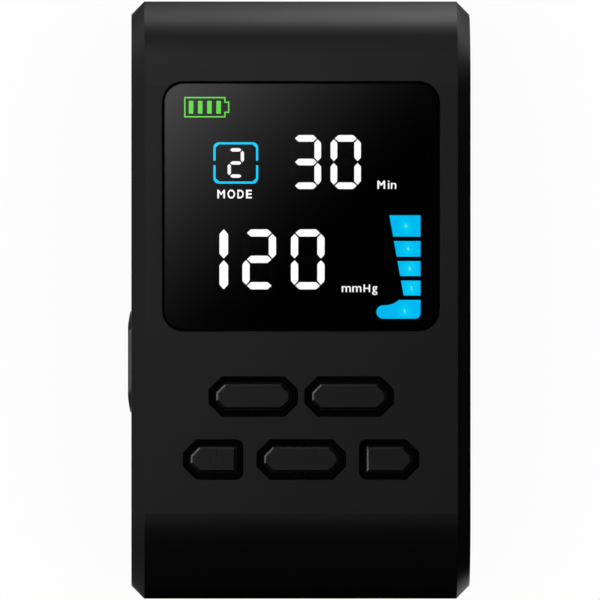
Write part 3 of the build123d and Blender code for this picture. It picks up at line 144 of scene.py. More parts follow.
class Finish:
    """A material that is being written: node() adds one node to it."""

    def __init__(self, name):
        self.material = bpy.data.materials.new(name)
        self.material.use_nodes = True
        self.tree = self.material.node_tree
        self.tree.nodes.clear()
        self.place = self.node("TexCoord", {}, {}, "Object")

    def node(self, kind, settings, inputs, output=0):
        """Adds one shader node: its settings first, then the values or wires of its inputs."""
        made = self.tree.nodes.new("ShaderNode" + kind)
        for name, value in settings.items():
            if name == "stops":
                stops = made.color_ramp.elements
                for position, level in value[2:]:
                    stops.new(position)
                for stop, (position, level) in zip(stops, value):
                    stop.position = position
                    stop.color = grey(level)
            else:
                setattr(made, name, value)
        for name, value in inputs.items():
            if isinstance(value, Wire):
                self.tree.links.new(value.socket, made.inputs[name])
            else:
                made.inputs[name].default_value = value
        return Wire(self, made.outputs[output])

    def noise(self, size, detail=2.0, place=None):
        """Soft blotches of about this size in metres, from 0 to 1."""
        inputs = {"Vector": place or self.place, "Scale": 1 / size, "Detail": detail}
        return self.node("TexNoise", {}, inputs, "Fac")

    def mix(self, mask, first, second):
        """A colour that goes from first to second as the mask goes from 0 to 1."""
        return self.node("Mix", {"data_type": "RGBA"}, {0: mask, 6: first, 7: second}, 2)

    def bump(self, height, depth):
        """A normal for a surface that rises and falls by this depth in metres."""
        return self.node("Bump", {}, {"Height": height, "Distance": depth, "Strength": 1.0})

    def close(self, inputs):
        """Ends the network in one Principled shader and returns the material."""
        surface = self.node("BsdfPrincipled", {}, inputs)
        self.node_out(surface)
        return self.material

    def node_out(self, surface):
        """Links a shader to the material's output."""
        out = self.tree.nodes.new("ShaderNodeOutputMaterial")
        self.tree.links.new(surface.socket, out.inputs["Surface"])


def grey(level):
    return (level, level, level, 1.0)


print("finishes are written with Wire and Finish")

# %% [markdown]
# ## Black moulded plastic
#
# The covers and the caps are ABS from a mould whose walls were etched, so the skin has a grain of
# about a tenth of a millimetre. Such black plastic has nearly no colour of its own: the greys in
# the photograph are soft reflections of the studio. So the base colour is almost black, the
# roughness makes the shapes, and it varies a little in blotches, as a moulded skin does.

# %% A finish for moulded plastic, from its colour and its roughness
GRAIN = 0.00025
GRAIN_DEPTH = 0.000004
BLOTCH = 0.02


def moulded_plastic(name, colour, rough):
    finish = Finish(name)
    skin = finish.noise(GRAIN, 1.0)
    cloud = finish.noise(BLOTCH, 2.0)
    darker = tuple(0.8 * value for value in colour)
    return finish.close({
        "Base Color": finish.mix(cloud, (*darker, 1.0), (*colour, 1.0)),
        "Roughness": rough - 0.03 + 0.06 * cloud,
        "Normal": finish.bump(skin, GRAIN_DEPTH),
    })


black_plastics = {
    "case_plastic": moulded_plastic("case_plastic", (0.0015, 0.0015, 0.0016), 0.36),
    "key_plastic": moulded_plastic("key_plastic", (0.0015, 0.0015, 0.0016), 0.28),
    "pump_plastic": moulded_plastic("pump_plastic", (0.02, 0.02, 0.022), 0.5),
    "rail_plastic": moulded_plastic("rail_plastic", (0.62, 0.6, 0.55), 0.45),
    "valve_body": moulded_plastic("valve_body", (0.03, 0.03, 0.034), 0.4),
}
print(len(black_plastics), "moulded plastics")

# %% [markdown]
# ## Silicone rubber
#
# The keypad mat, the feet and the sleeve round the pump are silicone. It is matt, it shines far
# less than plastic, and dust gives it a faint bloom. With its shine turned up or down, the same
# finish also serves for tape, ink and matt black modules.

# %% A finish for silicone
BLOOM = 0.003
RUBBER_GRAIN = 0.0004
RUBBER_GRAIN_DEPTH = 0.000006


def silicone(name, colour, rough, shine):
    finish = Finish(name)
    bloom = finish.noise(BLOOM, 3.0)
    dusty = tuple(1.5 * value for value in colour)
    return finish.close({
        "Base Color": finish.mix(bloom, (*colour, 1.0), (*dusty, 1.0)),
        "Roughness": rough - 0.05 + 0.1 * bloom,
        "Specular IOR Level": shine,
        "Normal": finish.bump(finish.noise(RUBBER_GRAIN, 2.0), RUBBER_GRAIN_DEPTH),
    })


rubbers = {
    "black_rubber": silicone("black_rubber", (0.0007, 0.0007, 0.0007), 0.85, 0.05),
    "display_black": silicone("display_black", (0.0007, 0.0007, 0.0007), 0.8, 0.1),
    "silicone_clear": silicone("silicone_clear", (0.5, 0.5, 0.47), 0.4, 0.4),
    "clear_tape": silicone("clear_tape", (0.01, 0.01, 0.01), 0.8, 0.2),
}
print(len(rubbers), "rubbers")

# %% [markdown]
# ## Lit signs
#
# Behind the window, small light boxes end in flat diffusers. A digit's bar is evenly white. A
# coloured sign is a little brighter over each of its lamps. That glow could be painted or lit by
# small lamps. Here it is the distance from each lamp, worked out in the material, which is smooth
# and costs nothing.
#
# A lamp sits in the middle of each piece of the leg sign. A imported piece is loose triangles, so
# its copy is merged first, and then its separate solids can be told apart.

# %% Where the leg sign's lamps sit: the middle of each of its five pieces
MERGE = 1e-6
FOOT_LAMP_X = 0.0263


def loose_groups(shape):
    """The vertices of each separate solid in a bmesh."""
    left, groups = set(shape.verts), []
    while left:
        group, edge = set(), {left.pop()}
        while edge:
            group |= edge
            edge = {link.other_vert(vertex) for vertex in edge for link in vertex.link_edges}
            edge -= group
        left -= group
        groups.append(group)
    return groups


def merged_copy(node):
    """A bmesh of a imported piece, with its triangles joined."""
    shape = bmesh.new()
    shape.from_mesh(nodes[node].data)
    bmesh.ops.remove_doubles(shape, verts=shape.verts, dist=MERGE)
    return shape


def middle_of(group):
    """The mean place of some vertices."""
    return sum((vertex.co for vertex in group), Vector()) / len(group)


leg_sign = merged_copy("leg_segments")
leg_lamps = sorted((middle_of(group) for group in loose_groups(leg_sign)),
                   key=lambda middle: -middle.y)
leg_sign.free()
# Most corners of the foot are at its toes, but its lamp is under the ankle
leg_lamps[-1].x = FOOT_LAMP_X
print("leg lamps in mm:", [in_mm(lamp) for lamp in leg_lamps])

# %% Finishes for lit diffusers
LAMP_REACH = 0.003
WINDOW_SKIN = 0.6
# The share of a lamp's light that gets through the window's two faces. The lamps make up for it
SEEN_THROUGH = (1 - WINDOW_SKIN) ** 2


def lit(name, colour, over_lamp=None, lamps=()):
    """A diffuser with faint blotches, which goes over to another colour at each lamp."""
    finish = Finish(name)
    glow = finish.noise(0.006, 0.0) * 0.1
    for lamp in lamps:
        away = finish.node("VectorMath", {"operation": "DISTANCE"},
                           {0: finish.place, 1: tuple(lamp)}, "Value")
        near = finish.node("MapRange", {"interpolation_type": "SMOOTHSTEP"},
                           {0: away, 1: LAMP_REACH, 2: 0.0})
        glow = finish.node("Math", {"operation": "MAXIMUM"}, {0: glow, 1: near})
    return finish.close({
        "Base Color": grey(0.02),
        "Roughness": 0.6,
        "Emission Color": finish.mix(glow, (*colour, 1.0), (*(over_lamp or colour), 1.0)),
        "Emission Strength": 1.0 / SEEN_THROUGH,
    })


lights = {
    "white_light": lit("white_light", (1.0, 1.0, 1.0)),
    "cyan_light": lit("cyan_light", (0.0, 0.58, 0.92), (0.0, 0.68, 0.96)),
    "green_light": lit("green_light", (0.11, 0.66, 0.05), (0.15, 0.76, 0.07)),
    "blue_light": lit("blue_light", (0.0, 0.455, 0.85), (0.0, 0.63, 0.92), leg_lamps),
    "pale_light": lit("pale_light", (0.25, 0.75, 0.95)),
    "dim_light": moulded_plastic("dim_light", (0.008, 0.008, 0.008), 0.6),
}
print(len(lights), "diffusers")

# %% [markdown]
# ## The smoked window
#
# The window is smoked acrylic, 2 mm thick. A full glass shader bends each ray and is slow, and
# some viewers can't show it. A see-through skin, set by Alpha, gives the same picture from both of
# its faces, because nothing behind the window is far from it.

# %% A finish for the window
def smoked_acrylic(name, colour, skin):
    finish = Finish(name)
    wipe = finish.noise(0.02, 3.0)
    return finish.close({
        "Base Color": (*colour, 1.0),
        "Roughness": 0.04 + 0.02 * wipe,
        "Alpha": skin,
        "Specular IOR Level": 1.0,
    })


window = {"lens_smoke": smoked_acrylic("lens_smoke", (0.0005, 0.0005, 0.0006), WINDOW_SKIN)}
print("the window lets through", round(SEEN_THROUGH, 3))

# %% [markdown]
# ## Metals, boards, films and foam inside the case
#
# The pieces inside are seen when the model is taken apart, so they get the finishes of the real
# parts: zinc-plated steel with a drawn grain, green boards with copper under the mask, shrink film
# with fine folds, enamelled wire and open foam.

# %% Finishes for the pieces inside
def plated_steel(name, colour, rough):
    finish = Finish(name)
    stretch = {"Vector": finish.place, "Scale": (1.0, 1.0, 12.0)}
    drawn = finish.noise(0.0008, 2.0, finish.node("Mapping", {}, stretch))
    return finish.close({
        "Base Color": (*colour, 1.0),
        "Metallic": 1.0,
        "Roughness": rough - 0.06 + 0.12 * drawn,
        "Normal": finish.bump(drawn, 0.000003),
    })


def circuit_board(name, mask_colour, copper_colour):
    finish = Finish(name)
    cells = {"Vector": finish.place, "Scale": 450.0, "Randomness": 0.25}
    track = finish.node("TexVoronoi", {"distance": "CHEBYCHEV"}, cells, "Distance")
    copper = finish.node("Math", {"operation": "LESS_THAN"}, {0: track, 1: 0.32})
    return finish.close({
        "Base Color": finish.mix(copper, (*mask_colour, 1.0), (*copper_colour, 1.0)),
        "Roughness": 0.25 + 0.1 * copper,
        "Normal": finish.bump(copper, 0.00002),
    })


def shrink_film(name, colour, rough):
    finish = Finish(name)
    folds = finish.noise(0.004, 4.0)
    paler = tuple(min(1.0, 1.4 * value) for value in colour)
    return finish.close({
        "Base Color": finish.mix(folds, (*colour, 1.0), (*paler, 1.0)),
        "Roughness": rough + 0.1 * folds,
        "Normal": finish.bump(folds, 0.00015),
    })


def open_foam(name, colour):
    finish = Finish(name)
    pores = finish.node("TexVoronoi", {}, {"Vector": finish.place, "Scale": 1800.0}, "Distance")
    return finish.close({
        # The pores are painted near black, as painted shade in their hollows; the bump sinks them
        # too.
        "Base Color": finish.mix(pores, grey(0.01), (*colour, 1.0)),
        "Roughness": 0.95 - 0.05 * pores,
        "Normal": finish.bump(pores, 0.0003),
    })


inside = {
    "steel": plated_steel("steel", (0.6, 0.6, 0.6), 0.32),
    "port_steel": plated_steel("port_steel", (0.7, 0.69, 0.66), 0.22),
    "motor_can": plated_steel("motor_can", (0.62, 0.62, 0.6), 0.38),
    "board_green": circuit_board("board_green", (0.01, 0.09, 0.03), (0.03, 0.16, 0.05)),
    "board_black": circuit_board("board_black", (0.002, 0.002, 0.002), (0.004, 0.004, 0.004)),
    "cell_wrap": shrink_film("cell_wrap", (0.02, 0.12, 0.25), 0.25),
    "pack_wrap": shrink_film("pack_wrap", (0.01, 0.03, 0.12), 0.2),
    "wire_red": shrink_film("wire_red", (0.35, 0.01, 0.01), 0.35),
    "ribbon_white": shrink_film("ribbon_white", (0.6, 0.6, 0.58), 0.35),
    "foam_grey": open_foam("foam_grey", (0.12, 0.12, 0.12)),
}
print(len(inside), "finishes for the inside")

# %% Give every node the finish of its slot
finishes = {**black_plastics, **rubbers, **lights, **window, **inside}
for row in frame["record"]["subparts"]:
    for slot in nodes[row["node"]].material_slots:
        slot.material = finishes[row["material_slot"]]

# %% [markdown]
# ## Small words on the display
#
# Beside the digits are the words MODE, Min and mmHg, the plain units that any such display shows.
# They are cut-outs in the mask over a light box. A text curve gives the letters. It becomes a mesh
# before it is placed, so that its object can stay at the origin. The real type is bolder and more
# widely set than Blender's own, so a bevel thickens the strokes and most words are set in parts.

# %% Text as a flat solid that fills a given box
LIGHT_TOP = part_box("digit_segments")[1].z
WORD_THICKNESS = 0.00012


def word(name, letters, left, right, low, high, bold, top=LIGHT_TOP):
    """Letters between four edges, with strokes that are bolder by a share of the type's size."""
    curve = bpy.data.curves.new(name + "_curve", "FONT")
    curve.body = letters
    curve.bevel_depth = bold
    curve.bevel_resolution = 0
    # Any thickness will do here, because the mesh is scaled to the word's own box
    curve.extrude = 0.5
    pen = bpy.data.objects.new(name + "_pen", curve)
    bpy.context.scene.collection.objects.link(pen)
    bpy.context.view_layer.update()
    mesh = bpy.data.meshes.new_from_object(pen)
    bpy.data.objects.remove(pen)
    corners = [vertex.co.copy() for vertex in mesh.vertices]
    lowest = Vector([min(corner[axis] for corner in corners) for axis in range(3)])
    highest = Vector([max(corner[axis] for corner in corners) for axis in range(3)])
    size = highest - lowest
    scale = Matrix.Diagonal(((right - left) / size.x, (high - low) / size.y,
                             WORD_THICKNESS / size.z, 1.0))
    middle = Vector(((left + right) / 2, (low + high) / 2, top - WORD_THICKNESS / 2))
    mesh.transform(Matrix.Translation(middle) @ scale @ Matrix.Translation(-(lowest + highest) / 2))
    piece = bpy.data.objects.new(name, mesh)
    bpy.context.scene.collection.objects.link(piece)
    return piece


# Each row: name, letters, then left, right, low and high edge in metres, and how bold it is
words = [
    word("word_mode_m", "M", -0.02123, -0.01929, 0.02579, 0.02797, 0.024),
    word("word_mode_o", "O", -0.01865, -0.01675, 0.02574, 0.02802, 0.024),
    word("word_mode_d", "D", -0.01615, -0.01455, 0.02579, 0.02797, 0.024),
    word("word_mode_e", "E", -0.01397, -0.01247, 0.02579, 0.02797, 0.024),
    word("word_minutes_m", "M", 0.01936, 0.02133, 0.02820, 0.03030, 0.022),
    word("word_minutes_in", "in", 0.02200, 0.02414, 0.02820, 0.03030, 0.006),
    word("word_pressure_mm", "mm", 0.01033, 0.01529, 0.00203, 0.00356, 0.006),
    word("word_pressure_h", "H", 0.01585, 0.01750, 0.00203, 0.00396, 0.010),
    word("word_pressure_g", "g", 0.01801, 0.01936, 0.00130, 0.00350, 0.006),
]
for piece in words:
    piece.data.materials.append(finishes["white_light"])
    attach(piece, "controller")
print([piece.name for piece in words])

# %% [markdown]
# ## Numbers on the leg sign
#
# Each piece of the leg sign stands for one air chamber of the leg wrap, and has a tiny number in
# its middle, from 1 at the foot to 5 at the knee. They are paler than the sign round them.

# %% Five tiny numbers, of which the 1 is half as wide
NUMBER_H = 0.0009
NUMBER_W = 0.0006
NUMBER_BOLD = 0.01
for chamber, lamp in enumerate(reversed(leg_lamps), start=1):
    width = 0.5 * NUMBER_W if chamber == 1 else NUMBER_W
    number = word(f"leg_number_{chamber}", str(chamber), lamp.x - width / 2, lamp.x + width / 2,
                  lamp.y - NUMBER_H / 2, lamp.y + NUMBER_H / 2, NUMBER_BOLD,
                  LIGHT_TOP + WORD_THICKNESS / 2)
    number.data.materials.append(finishes["pale_light"])
    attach(number, "controller")
print("numbers 1 to 5 on the leg sign")

# %% [markdown]
# ## The window's printed border
#
# The window hides the ledge it is glued to. On the real one, its underside has a border printed in
# black, over the tape and the gap round the display module. It could be a darker part of the
# window's own finish, but a thin solid is closer to the real print and keeps a clean inner edge.
# The gap is wider at the sides, so the ring's inner edge is moved in there.

# %% A flat ring with round corners, from a grid, a bevel and an inset
CORNER_STEPS = 8


def raised_face(shape, height):
    """Gives flat faces their thickness."""
    solid = bmesh.ops.extrude_face_region(shape, geom=shape.faces[:])
    raised = [part for part in solid["geom"] if isinstance(part, bmesh.types.BMVert)]
    bmesh.ops.translate(shape, verts=raised, vec=(0, 0, height))


def hollowed(shape, line, height):
    """Leaves a line of an even width along a flat face's edge, and raises it to a solid."""
    rim = bmesh.ops.inset_region(shape, faces=shape.faces[:], thickness=line,
                                 use_boundary=True, use_even_offset=True)["faces"]
    middle = [face for face in shape.faces if face not in rim]
    bmesh.ops.delete(shape, geom=middle, context="FACES")
    raised_face(shape, height)
    bmesh.ops.recalc_face_normals(shape, faces=shape.faces)


def finished(name, shape):
    """Turns a bmesh into a named piece of the scene."""
    mesh = bpy.data.meshes.new(name)
    shape.to_mesh(mesh)
    shape.free()
    piece = bpy.data.objects.new(name, mesh)
    bpy.context.scene.collection.objects.link(piece)
    return piece


def rounded_ring(name, low, high, radius, line, height):
    """A ring of this line's width that stands on the level of its low corner."""
    ring = bmesh.new()
    bmesh.ops.create_grid(ring, x_segments=1, y_segments=1, size=0.5)
    size = high - low
    bmesh.ops.scale(ring, verts=ring.verts, vec=(size.x, size.y, 1.0))
    bmesh.ops.bevel(ring, geom=ring.verts[:], affect="VERTICES", offset=radius,
                    segments=CORNER_STEPS, profile=0.5, material=-1)
    hollowed(ring, line, height)
    centre = (low + high) / 2
    bmesh.ops.translate(ring, verts=ring.verts, vec=(centre.x, centre.y, low.z))
    return finished(name, ring)


print("rings turn each corner in", CORNER_STEPS, "steps")

# %% The printed border, wider at the sides
PRINT_T = 0.00003
PRINT_SIDE = 0.00015
PRINT_IN = 0.00002
PRINT_OVER = 0.00005
LENS_R = 0.0049
lens_low, lens_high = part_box("display_lens")
module_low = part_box("display_housing")[0]
gap = module_low - lens_low
print_width = gap.y - PRINT_SIDE + PRINT_OVER
wider = gap.x - gap.y
inset = Vector((PRINT_SIDE, PRINT_SIDE, 0))
border = rounded_ring("window_print", lens_low + inset + Vector((0, 0, PRINT_IN)),
                      lens_high - inset, LENS_R - PRINT_SIDE, print_width, PRINT_T)
# Of the ring's corners, only those of its inner edge lie this far in from the window's edges
far_in = PRINT_SIDE + 0.99 * print_width
for vertex in border.data.vertices:
    if (lens_low.x + far_in < vertex.co.x < lens_high.x - far_in
            and lens_low.y + far_in < vertex.co.y < lens_high.y - far_in):
        vertex.co.x -= math.copysign(wider, vertex.co.x)
border.data.materials.append(silicone("glossy_print", (0.0007, 0.0007, 0.0007), 0.05, 0.6))
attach(border, "controller")
print("the border's width, and how much wider it is at the sides, in mm:",
      in_mm((print_width, wider), 2))

# %% [markdown]
# ## A black ring of painted shade round the window
#
# The narrow slot round the window is pitch black on the real unit, as a deep slot in shade is. A
# black ring fills it as painted shade, since light that passes through the window would brighten the
# slot's floor.

# %% The same ring shape, between the window and the cover
SLOT_SHADE_W = 0.00046
SLOT_SHADE_SLACK = 0.00002
SLOT_SHADE_H = 0.0012
around = Vector((SLOT_SHADE_W, SLOT_SHADE_W, 0))
slot_shade = rounded_ring("window_slot_shade", lens_low - around, lens_high + around, LENS_R + SLOT_SHADE_W,
                    SLOT_SHADE_W - SLOT_SHADE_SLACK, SLOT_SHADE_H)
# The ring's near-black finish is painted shade, which keeps the slot as dark as its own shade would.
slot_shade.data.materials.append(silicone("slot_shade_black", (0.0003, 0.0003, 0.0003), 0.9, 0.05))
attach(slot_shade, "controller")
print("seal's width and height in mm:", in_mm((SLOT_SHADE_W - SLOT_SHADE_SLACK, SLOT_SHADE_H), 2))

# %% [markdown]
# ## The battery sign
#
# On the real sign the line runs round the battery and its nub as one, with nothing between them.
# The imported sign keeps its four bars, and its outline is drawn again as one line of even width.

# %% One outline with the nub, and the four packed bars
BATTERY_LINE = 0.00034
NUB_W = 0.00096
NUB_H = 0.0029
sign_low, sign_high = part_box("charge_segments")
body_x = sign_high.x - NUB_W
sign_y = (sign_low.y + sign_high.y) / 2
outline = bmesh.new()
bmesh.ops.create_grid(outline, x_segments=1, y_segments=3, size=0.5)
# The grid's two outer rows become the body's long sides, and the two inner ones the nub's
INNER_ROWS = 0.4
nub_side = []
for vertex in outline.verts:
    if abs(vertex.co.y) < INNER_ROWS:
        vertex.co.y = math.copysign(NUB_H / 2, vertex.co.y)
        nub_side += [vertex] if vertex.co.x > 0 else []
    else:
        vertex.co.y = math.copysign((sign_high.y - sign_low.y) / 2, vertex.co.y)
    vertex.co.x = body_x if vertex.co.x > 0 else sign_low.x
nub = bmesh.ops.extrude_edge_only(outline, edges=[edge for edge in outline.edges
                                                  if set(edge.verts) == set(nub_side)])
bmesh.ops.translate(outline, vec=(NUB_W, 0, 0), verts=[
    part for part in nub["geom"] if isinstance(part, bmesh.types.BMVert)])
bmesh.ops.recalc_face_normals(outline, faces=outline.faces)
hollowed(outline, BATTERY_LINE, sign_high.z - sign_low.z)
bmesh.ops.translate(outline, verts=outline.verts, vec=(0, sign_y, sign_low.z))
battery = merged_copy("charge_segments")
shell = max(loose_groups(battery), key=lambda group: max(vertex.co.x for vertex in group))
bmesh.ops.delete(battery, geom=list(shell), context="VERTS")
drawn = bpy.data.meshes.new("battery_outline")
outline.to_mesh(drawn)
outline.free()
battery.from_mesh(drawn)
battery_sign = finished("battery_sign", battery)
battery_sign.data.materials.append(finishes["green_light"])
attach(battery_sign, "controller")
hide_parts("charge_segments")
print("battery sign", len(battery_sign.data.polygons), "faces")

# %% [markdown]
# ## Key caps with a shallow bevel
#
# The light from the left draws a bright line, half a millimetre wide, along the left edges of each
# cap. A line of that width needs a wide and shallow bevel, not a 45 degree one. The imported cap's
# mesh isn't changed. A copy is merged, its triangles are dissolved into whole faces, its top is
# inset once more and the old rim is lowered, so that both steps make one slope of about 27 degrees.
# A Bevel modifier then takes the knife edge off.

# %% Five caps from merged copies
CAP_SLOPE = 0.00025
CAP_DROP = 0.00013
EDGE_ROUND = 0.00007
EDGE_STEPS = 3
FLAT_WITHIN = math.radians(1)
ROUND_FROM = math.radians(15)


def bevelled_cap(key):
    node = f"key_cap_{key}"
    shape = merged_copy(node)
    bmesh.ops.dissolve_limit(shape, angle_limit=FLAT_WITHIN, verts=shape.verts,
                             edges=shape.edges)
    top = max(shape.faces, key=lambda face: face.calc_center_median().z)
    slope = bmesh.ops.inset_region(shape, faces=[top], thickness=CAP_SLOPE, use_even_offset=True)
    rim = {vertex for face in slope["faces"] for vertex in face.verts} - set(top.verts)
    bmesh.ops.translate(shape, verts=list(rim), vec=(0, 0, -CAP_DROP))
    cap = finished(node + "_bevelled", shape)
    rounding = cap.modifiers.new("rounding", "BEVEL")
    rounding.width = EDGE_ROUND
    rounding.segments = EDGE_STEPS
    rounding.limit_method = "ANGLE"
    rounding.angle_limit = ROUND_FROM
    cap.data.materials.append(finishes["key_plastic"])
    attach(cap, f"{key}_key")
    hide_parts(node)
    return cap


caps = [bevelled_cap(key) for key in ("upper_left", "upper_right", "lower_left", "lower_centre",
                                      "lower_right")]
print(len(caps), "caps of", len(caps[0].data.polygons), "faces before rounding")

# %% [markdown]
# ## The power sign on the lower left key
#
# The lower left key has the common power sign, a ring that is open at its top with a short bar in
# the gap. It is so faint that it only shows as a change of gloss, so it is a thin print of nearly
# the cap's own colour.

# %% A ring from a spin, and a bar
SIGN_R = 0.0019
SIGN_LINE = 0.00032
SIGN_T = 0.00002
SIGN_RIGHT = 0.0009
SIGN_START = math.radians(35)
SIGN_SWEEP = math.radians(290)
BAR_MIDDLE = 0.75
cap_low, cap_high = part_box("key_cap_lower_left")
sign_middle = Vector(((cap_low.x + cap_high.x) / 2 + SIGN_RIGHT, (cap_low.y + cap_high.y) / 2,
                      cap_high.z - SIGN_T / 2))
sign = bmesh.new()
inner = sign.verts.new((0, SIGN_R - SIGN_LINE, 0))
outer = sign.verts.new((0, SIGN_R, 0))
edge = sign.edges.new((inner, outer))
bmesh.ops.rotate(sign, verts=[inner, outer], matrix=Matrix.Rotation(SIGN_START, 3, "Z"))
bmesh.ops.spin(sign, geom=[inner, outer, edge], axis=(0, 0, 1), cent=(0, 0, 0),
               angle=SIGN_SWEEP, steps=36)
bar = bmesh.ops.create_grid(sign, x_segments=1, y_segments=1, size=0.5)["verts"]
bmesh.ops.scale(sign, verts=bar, vec=(SIGN_LINE, SIGN_R, 1.0))
bmesh.ops.translate(sign, verts=bar, vec=(0, BAR_MIDDLE * SIGN_R, 0))
bmesh.ops.remove_doubles(sign, verts=sign.verts, dist=MERGE / 10)
raised_face(sign, SIGN_T)
bmesh.ops.translate(sign, verts=sign.verts, vec=sign_middle)
bmesh.ops.recalc_face_normals(sign, faces=sign.faces)
power_sign = finished("power_sign", sign)
power_sign.data.materials.append(silicone("sign_ink", (0.0007, 0.0007, 0.0007), 0.35, 0.36))
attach(power_sign, "lower_left_key")
print("power sign", len(power_sign.data.polygons), "faces")

# %% [markdown]
# ## The socket's collar
#
# In the photograph the collar on the left-hand side catches the light along its whole length, so
# its side leans back a little. Such a draft lets a moulded piece leave its tool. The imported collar
# is straight, so a copy's outer edge is drawn in. Its outline is an oblong with round ends: each
# corner moves straight towards the line between the two ends' centres, by as much of the draft as
# it stands proud of the case. The corners round the mouth are nearer to that line, and stay.

# %% A collar with a draft
DRAFT = 0.00038
COLLAR_R = 0.0065
MOUTH_R = 0.0045
collar_low, collar_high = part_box("hose_socket")
side_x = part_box("front_cover")[0].x
axis_z = (collar_low.z + collar_high.z) / 2
collar = merged_copy("hose_socket")
collar_y = [vertex.co.y for vertex in collar.verts if vertex.co.x < side_x + MERGE]
end_low, end_high = min(collar_y) + COLLAR_R, max(collar_y) - COLLAR_R
moved = 0
for vertex in collar.verts:
    near = Vector((vertex.co.x, min(max(vertex.co.y, end_low), end_high), axis_z))
    out = vertex.co - near
    if vertex.co.x < side_x - MERGE and out.length > (COLLAR_R + MOUTH_R) / 2:
        proud = (side_x - vertex.co.x) / (side_x - collar_low.x)
        vertex.co = near + out * (1 - DRAFT * proud / out.length)
        moved += 1
socket = finished("hose_socket_drafted", collar)
socket.data.materials.append(finishes["case_plastic"])
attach(socket, "controller")
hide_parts("hose_socket")
print("collar drawn in at", moved, "corners of its crown")

# %% [markdown]
# ## Rubber feet
#
# A foot is a silicone plug pressed into a well over a screw. Its rim is rounded and its sole a
# little hollow, so that it grips. A profile turned by a full spin gives that, where the packed
# foot is a plain prism.

# %% Four feet, each spun from its profile
FOOT_RIM = 0.0005
SOLE_DISH = 0.00025
DISH_R = 0.55
SOLE_R = 0.7
RIM_SHARE = 0.3
FOOT_STEPS = 48
SMOOTH_TO = math.radians(50)


def spun_foot(number):
    low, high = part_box(f"rear_foot_{number}")
    radius = (high.x - low.x) / 2
    centre = (low + high) / 2
    foot = bmesh.new()
    profile = [(0.0, SOLE_DISH), (DISH_R * radius, SOLE_DISH), (SOLE_R * radius, 0.0),
               (radius - FOOT_RIM, 0.0), (radius - RIM_SHARE * FOOT_RIM, RIM_SHARE * FOOT_RIM),
               (radius, FOOT_RIM), (radius, high.z - low.z), (0.0, high.z - low.z)]
    points = [foot.verts.new((across, 0, up)) for across, up in profile]
    lines = [foot.edges.new(pair) for pair in zip(points, points[1:])]
    bmesh.ops.spin(foot, geom=points + lines, axis=(0, 0, 1), cent=(0, 0, 0),
                   angle=math.radians(360), steps=FOOT_STEPS, use_merge=True)
    bmesh.ops.remove_doubles(foot, verts=foot.verts, dist=MERGE)
    bmesh.ops.translate(foot, verts=foot.verts, vec=(centre.x, centre.y, low.z))
    bmesh.ops.recalc_face_normals(foot, faces=foot.faces)
    for face in foot.faces:
        face.smooth = True
    piece = finished(f"foot_{number}", foot)
    piece.data.set_sharp_from_angle(angle=SMOOTH_TO)
    piece.data.materials.append(finishes["black_rubber"])
    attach(piece, "controller")
    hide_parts(f"rear_foot_{number}")
    return piece


feet = [spun_foot(number) for number in range(1, 5)]
print(len(feet), "feet of", len(feet[0].data.polygons), "faces")

# %% [markdown]
# ## Contacts in the charging port
#
# The tongue of the port has a row of gilt contacts on each face. They are short flat strips, so
# each is a cube operator squeezed to its size, and all are one piece.

# %% Two rows of strips on the tongue
CONTACTS = 12
CONTACT_PITCH = 0.0005
CONTACT_SIZE = (0.0032, 0.00026, 0.00003)
CONTACT_BACK = 0.0023
tongue_low, tongue_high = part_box("charge_port_tongue")
strips = bmesh.new()
for face_z in (tongue_low.z, tongue_high.z):
    for step in range(CONTACTS):
        y = (tongue_low.y + tongue_high.y) / 2 + (step - (CONTACTS - 1) / 2) * CONTACT_PITCH
        strip = bmesh.ops.create_cube(strips, size=1.0)["verts"]
        bmesh.ops.scale(strips, verts=strip, vec=CONTACT_SIZE)
        bmesh.ops.translate(strips, verts=strip, vec=(tongue_high.x - CONTACT_BACK, y, face_z))
contacts = finished("port_contacts", strips)
contacts.data.materials.append(plated_steel("gilt_contacts", (0.75, 0.52, 0.2), 0.25))
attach(contacts, "controller")
print(2 * CONTACTS, "contacts")

# %% [markdown]
# ## Studio
#
# The photograph looks straight down on the unit. The background is white, the head end is bright,
# the left edge grey, and the right and foot edges fall to black. That is a unit in a small tent of
# cards: a pale one above, a grey one on the left, black ones on the right and at the foot. Narrow
# bright strips draw the lines along the edges. The floor and the world give plain white light, and
# the cards are there for the reflections only, so from any side the unit lies on a plain pale
# floor.

# %% Floor and world
FLOOR_SIDE = 8
SHOWN_WHITE = 0.93


def plane(name, corners):
    """A flat card through four corners, in metres."""
    sheet = bmesh.new()
    bmesh.ops.create_grid(sheet, x_segments=1, y_segments=1, size=0.5)
    sheet.verts.ensure_lookup_table()
    for vertex in sheet.verts:
        column, row = (0 if vertex.co.x < 0 else 1), (0 if vertex.co.y < 0 else 1)
        vertex.co = corners[2 * row + column]
    piece = finished(name, sheet)
    piece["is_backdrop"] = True
    return piece


def pale_floor():
    """White paper that keeps a light shadow: part of it shows as plain white to the camera."""
    finish = Finish("pale_floor")
    paper = finish.node("BsdfDiffuse", {}, {"Color": grey(0.94)})
    white = finish.node("Emission", {}, {"Color": grey(1.0), "Strength": 1.0})
    seen = [finish.node("LightPath", {}, {}, ray)
            for ray in ("Is Camera Ray", "Is Glossy Ray", "Is Transmission Ray")]
    share = SHOWN_WHITE * (seen[0] + seen[1] + seen[2])
    finish.node_out(finish.node("MixShader", {}, {0: share, 1: paper, 2: white}))
    return finish.material


floor = plane("floor", [(-FLOOR_SIDE, -FLOOR_SIDE, 0), (FLOOR_SIDE, -FLOOR_SIDE, 0),
                        (-FLOOR_SIDE, FLOOR_SIDE, 0), (FLOOR_SIDE, FLOOR_SIDE, 0)])
floor.data.materials.append(pale_floor())

world = bpy.data.worlds.new("plain_white")
bpy.context.scene.world = world
world.use_nodes = True
world.node_tree.nodes["Background"].inputs["Color"].default_value = grey(1.0)
world.node_tree.nodes["Background"].inputs["Strength"].default_value = 1.0
print("floor and world are plain white")

